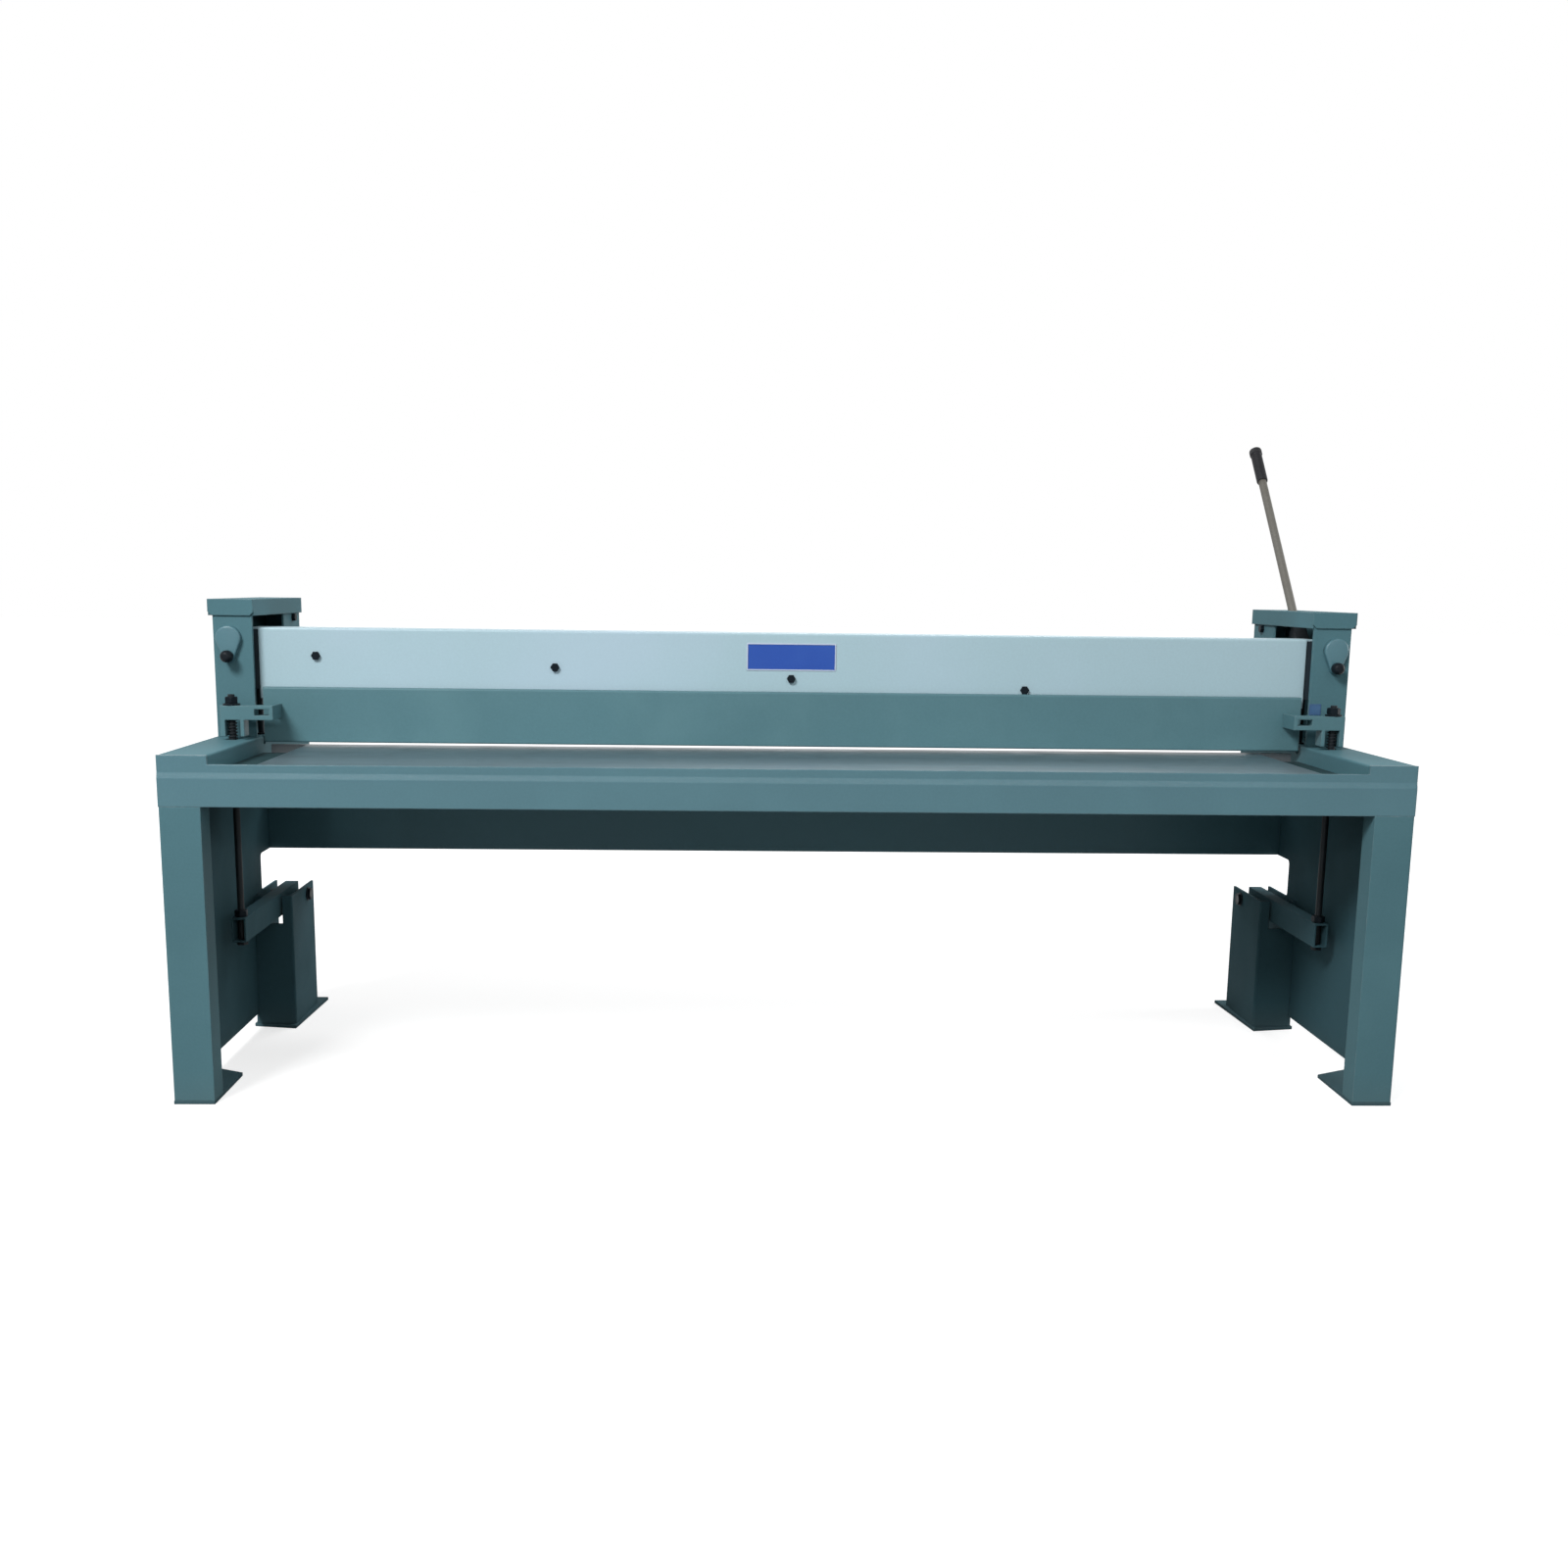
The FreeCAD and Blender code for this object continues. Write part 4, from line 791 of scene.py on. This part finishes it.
# The lower arms: rectangular tube on a pivot in each rear leg, with the rod through its front end. A black
# nut with a washer keeps each pivot pin on the inside of the leg.
dress(dull_shaded_paint, *both("clamp_arm"))
pivot_y, pivot_z = middle_of("arm_pivot_pins").yz
pivot_d = 0.020
leg_face_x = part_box("rear_leg_right")[0].x
pivot_washer_height = 0.003
pivot_washer_gap = 0.0002
pivot_nut_gap = 0.0001
pivot_washer = turned_ring("pivot_washer", outer_d=0.037, bore_d=pivot_d + 0.0004, height=pivot_washer_height,
                           chamfer=0.0006)
pivot_nut = turned_ring("pivot_nut", outer_d=0.0346, bore_d=pivot_d + 0.0002, height=0.007, chamfer=0.0018,
                        flats=0.030)
pivot_fasteners = []
for side in (-1.0, 1.0):
    inwards = (0.0, -side * quarter, 0.0)
    washer_x = leg_face_x - pivot_washer_gap
    nut_x = washer_x - pivot_washer_height - pivot_nut_gap
    pivot_fasteners.append(another(pivot_washer, "washer", (side * washer_x, pivot_y, pivot_z), inwards))
    pivot_fasteners.append(another(pivot_nut, "nut", (side * nut_x, pivot_y, pivot_z), inwards))
done_with(pivot_washer, pivot_nut)
coat(joined("pivot_nuts", pivot_fasteners), black_oxide, "base")


# The lock handles on the tower fronts: flat forged handles with rounded front edges, painted with the
# machine, each with a round black knob screwed on its tip.
knob_black = moulded("knob_black", colour=srgb(16, 22, 28), worn_colour=srgb(30, 36, 42), grain_size=500.0,
                     gloss=(0.34, 0.46), shine=0.1)
handle_front_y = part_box("lock_handle_right")[0].y
handle_rounding = 0.0045
knob_low, knob_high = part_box("lock_knob_right")
knob_x, knob_z = middle_of("lock_knob_right").xz
knob_length = knob_high.y - knob_low.y
knob_radius = 0.0145
knob_dome = 0.0105
knob_back_rounding = 0.005
knob_back_inset = 0.0055


def is_front_corner(edge):
    # Is this edge on the handle's front, where the front turns into a side?
    on_front = all(abs(vertex.co.y - handle_front_y) < 0.0003 for vertex in edge.verts)
    return on_front and len(edge.link_faces) == 2 and edge.calc_face_angle(0.0) > math.radians(60.0)


for label, side in (("left", -1.0), ("right", 1.0)):
    name = "lock_handle_" + label
    handle = cad[name].copy()
    handle.data = cad[name].data.copy()
    handle.parent = None
    for key in list(handle.keys()):
        del handle[key]
    handle.name = "forged_handle_" + label
    bpy.context.collection.objects.link(handle)
    handle.matrix_world = cad[name].matrix_world.copy()
    shape(handle)
    bpy.ops.mesh.select_all(action="SELECT")
    bpy.ops.mesh.remove_doubles(threshold=0.00002)
    bpy.ops.mesh.dissolve_limited(angle_limit=math.radians(1.0))
    pick(handle, "EDGE", is_front_corner)
    bpy.ops.mesh.bevel(offset=handle_rounding, offset_type="OFFSET", segments=4)
    settle(handle, smooth_deg=40.0)
    coat(handle, machine_paint, "lock_" + label)
    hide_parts(name)

    knob = round_blank("round_knob_" + label, sides=32, radius=knob_radius, height=knob_length)
    pick(knob, "EDGE", lambda edge: on_rim(edge, knob_radius, knob_length))
    bpy.ops.mesh.bevel(offset=knob_dome, offset_type="OFFSET", segments=6)
    pick(knob, "FACE", looks_down)
    bpy.ops.mesh.inset(thickness=knob_back_inset)
    pick(knob, "EDGE", lambda edge: on_rim(edge, knob_radius, 0.0))
    bpy.ops.mesh.bevel(offset=knob_back_rounding, offset_type="OFFSET", segments=4)
    knob.rotation_euler = (quarter, 0.0, 0.0)
    knob.location = (side * knob_x, knob_high.y, knob_z)
    settle(knob, smooth_deg=50.0)
    coat(knob, knob_black, "lock_" + label)
    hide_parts("lock_knob_" + label)


# The studio: a plain floor that is white to the camera and keeps the machine's shadow, and the camera where
# the photograph was taken from. The key lamp is high at the front left, with a weak fill at the right, one
# lamp behind and one at the right side. A long low strip in front lights the crease along the rail.
def seen_white(tree):
    # One for rays from the camera, and for what metal reflects and glass lets through; nought for the others.
    path = tree.nodes.new("ShaderNodeLightPath")
    seen = path.outputs["Is Camera Ray"]
    for ray in ("Is Glossy Ray", "Is Transmission Ray"):
        seen = maths(tree, "MAXIMUM", seen, path.outputs[ray])
    return seen


white = (1.0, 1.0, 1.0, 1.0)
seen_grey = (0.5, 0.5, 0.5, 1.0)
soft_grey = (0.12, 0.12, 0.12, 1.0)
floor_white, floor_tree, floor_shader = new_material("floor_white")
floor_seen = seen_white(floor_tree)
feed(floor_tree, floor_shader, Base_Color=blended(floor_tree, floor_seen, soft_grey, seen_grey),
     Roughness=0.9, Specular_IOR_Level=0.0)
floor_place = floor_tree.nodes.new("ShaderNodeTexCoord")
floor_reach = placed(floor_tree, "ShaderNodeVectorMath", Vector=floor_place.outputs["Object"])
floor_reach.operation = "LENGTH"
floor_fade = spread(floor_tree, floor_reach.outputs["Value"], From_Min=1.5, From_Max=4.5,
                    To_Min=0.70, To_Max=0.94)
floor_glow = placed(floor_tree, "ShaderNodeEmission", Color=white,
                    Strength=maths(floor_tree, "MULTIPLY", floor_seen, floor_fade))
floor_sum = floor_tree.nodes.new("ShaderNodeAddShader")
floor_tree.links.new(floor_shader.outputs["BSDF"], floor_sum.inputs[0])
floor_tree.links.new(floor_glow.outputs["Emission"], floor_sum.inputs[1])
feed(floor_tree, floor_tree.nodes["Material Output"], Surface=floor_sum.outputs["Shader"])

bpy.ops.object.select_all(action="DESELECT")
bpy.ops.mesh.primitive_plane_add(size=80.0)
floor = bpy.context.object
floor.name = "floor"
floor.data.materials.append(floor_white)

world = bpy.data.worlds.new("studio")
bpy.context.scene.world = world
world.use_nodes = True
sky = world.node_tree
soft_sky = feed(sky, sky.nodes["Background"], Color=white, Strength=0.28)
seen_sky = placed(sky, "ShaderNodeBackground", Color=white, Strength=1.0)
choose = placed(sky, "ShaderNodeMixShader", Fac=seen_white(sky))
sky.links.new(soft_sky.outputs["Background"], choose.inputs[1])
sky.links.new(seen_sky.outputs["Background"], choose.inputs[2])
feed(sky, sky.nodes["World Output"], Surface=choose.outputs["Shader"])


def soft_lamp(name, place, aim, width, height, watts):
    lamp = bpy.data.lights.new(name, "AREA")
    lamp.shape = "RECTANGLE"
    lamp.size = width
    lamp.size_y = height
    lamp.energy = watts
    holder = bpy.data.objects.new(name, lamp)
    bpy.context.collection.objects.link(holder)
    holder.location = place
    holder.rotation_euler = (Vector(aim) - Vector(place)).to_track_quat("-Z", "Y").to_euler()


soft_lamp("key", place=(-3.3, -4.9, 5.4), aim=(0.0, 0.0, 0.6), width=2.2, height=1.8, watts=460.0)
soft_lamp("fill", place=(2.2, -4.0, 4.2), aim=(0.0, 0.0, 0.6), width=2.0, height=1.5, watts=22.0)
soft_lamp("strip", place=(0.0, -3.4, 1.85), aim=(0.0, -0.45, 0.75), width=5.0, height=0.12, watts=20.0)
soft_lamp("rear", place=(0.8, 3.6, 4.4), aim=(0.0, 0.0, 0.7), width=2.5, height=1.8, watts=115.0)
soft_lamp("side", place=(4.8, 0.6, 1.7), aim=(1.4, 0.0, 0.6), width=1.6, height=1.4, watts=65.0)

# The camera's place in metres and its turns in radians, found by fitting the model to the photograph.
camera_place = (-0.1801, -3.9172, 1.1793)
yaw, pitch, roll = -0.0356, -0.1751, 0.0129
camera_data = bpy.data.cameras.new("camera")
camera_data.sensor_width = 36.0
camera_data.lens = 36.13
camera_data.shift_x = 0.0095
camera_data.shift_y = 0.05
camera = bpy.data.objects.new("camera", camera_data)
bpy.context.collection.objects.link(camera)
turn = Matrix.Rotation(yaw, 4, "Z") @ Matrix.Rotation(pitch, 4, "X")
right = turn.col[0].to_3d()
ahead = turn.col[1].to_3d()
above = turn.col[2].to_3d()
rolled_right = math.cos(roll) * right + math.sin(roll) * above
rolled_above = -math.sin(roll) * right + math.cos(roll) * above
stance = Matrix((rolled_right, rolled_above, -ahead)).transposed().to_4x4()
stance.translation = Vector(camera_place)
camera.matrix_world = stance
bpy.context.scene.camera = camera
bpy.context.scene.view_settings.view_transform = "Standard"
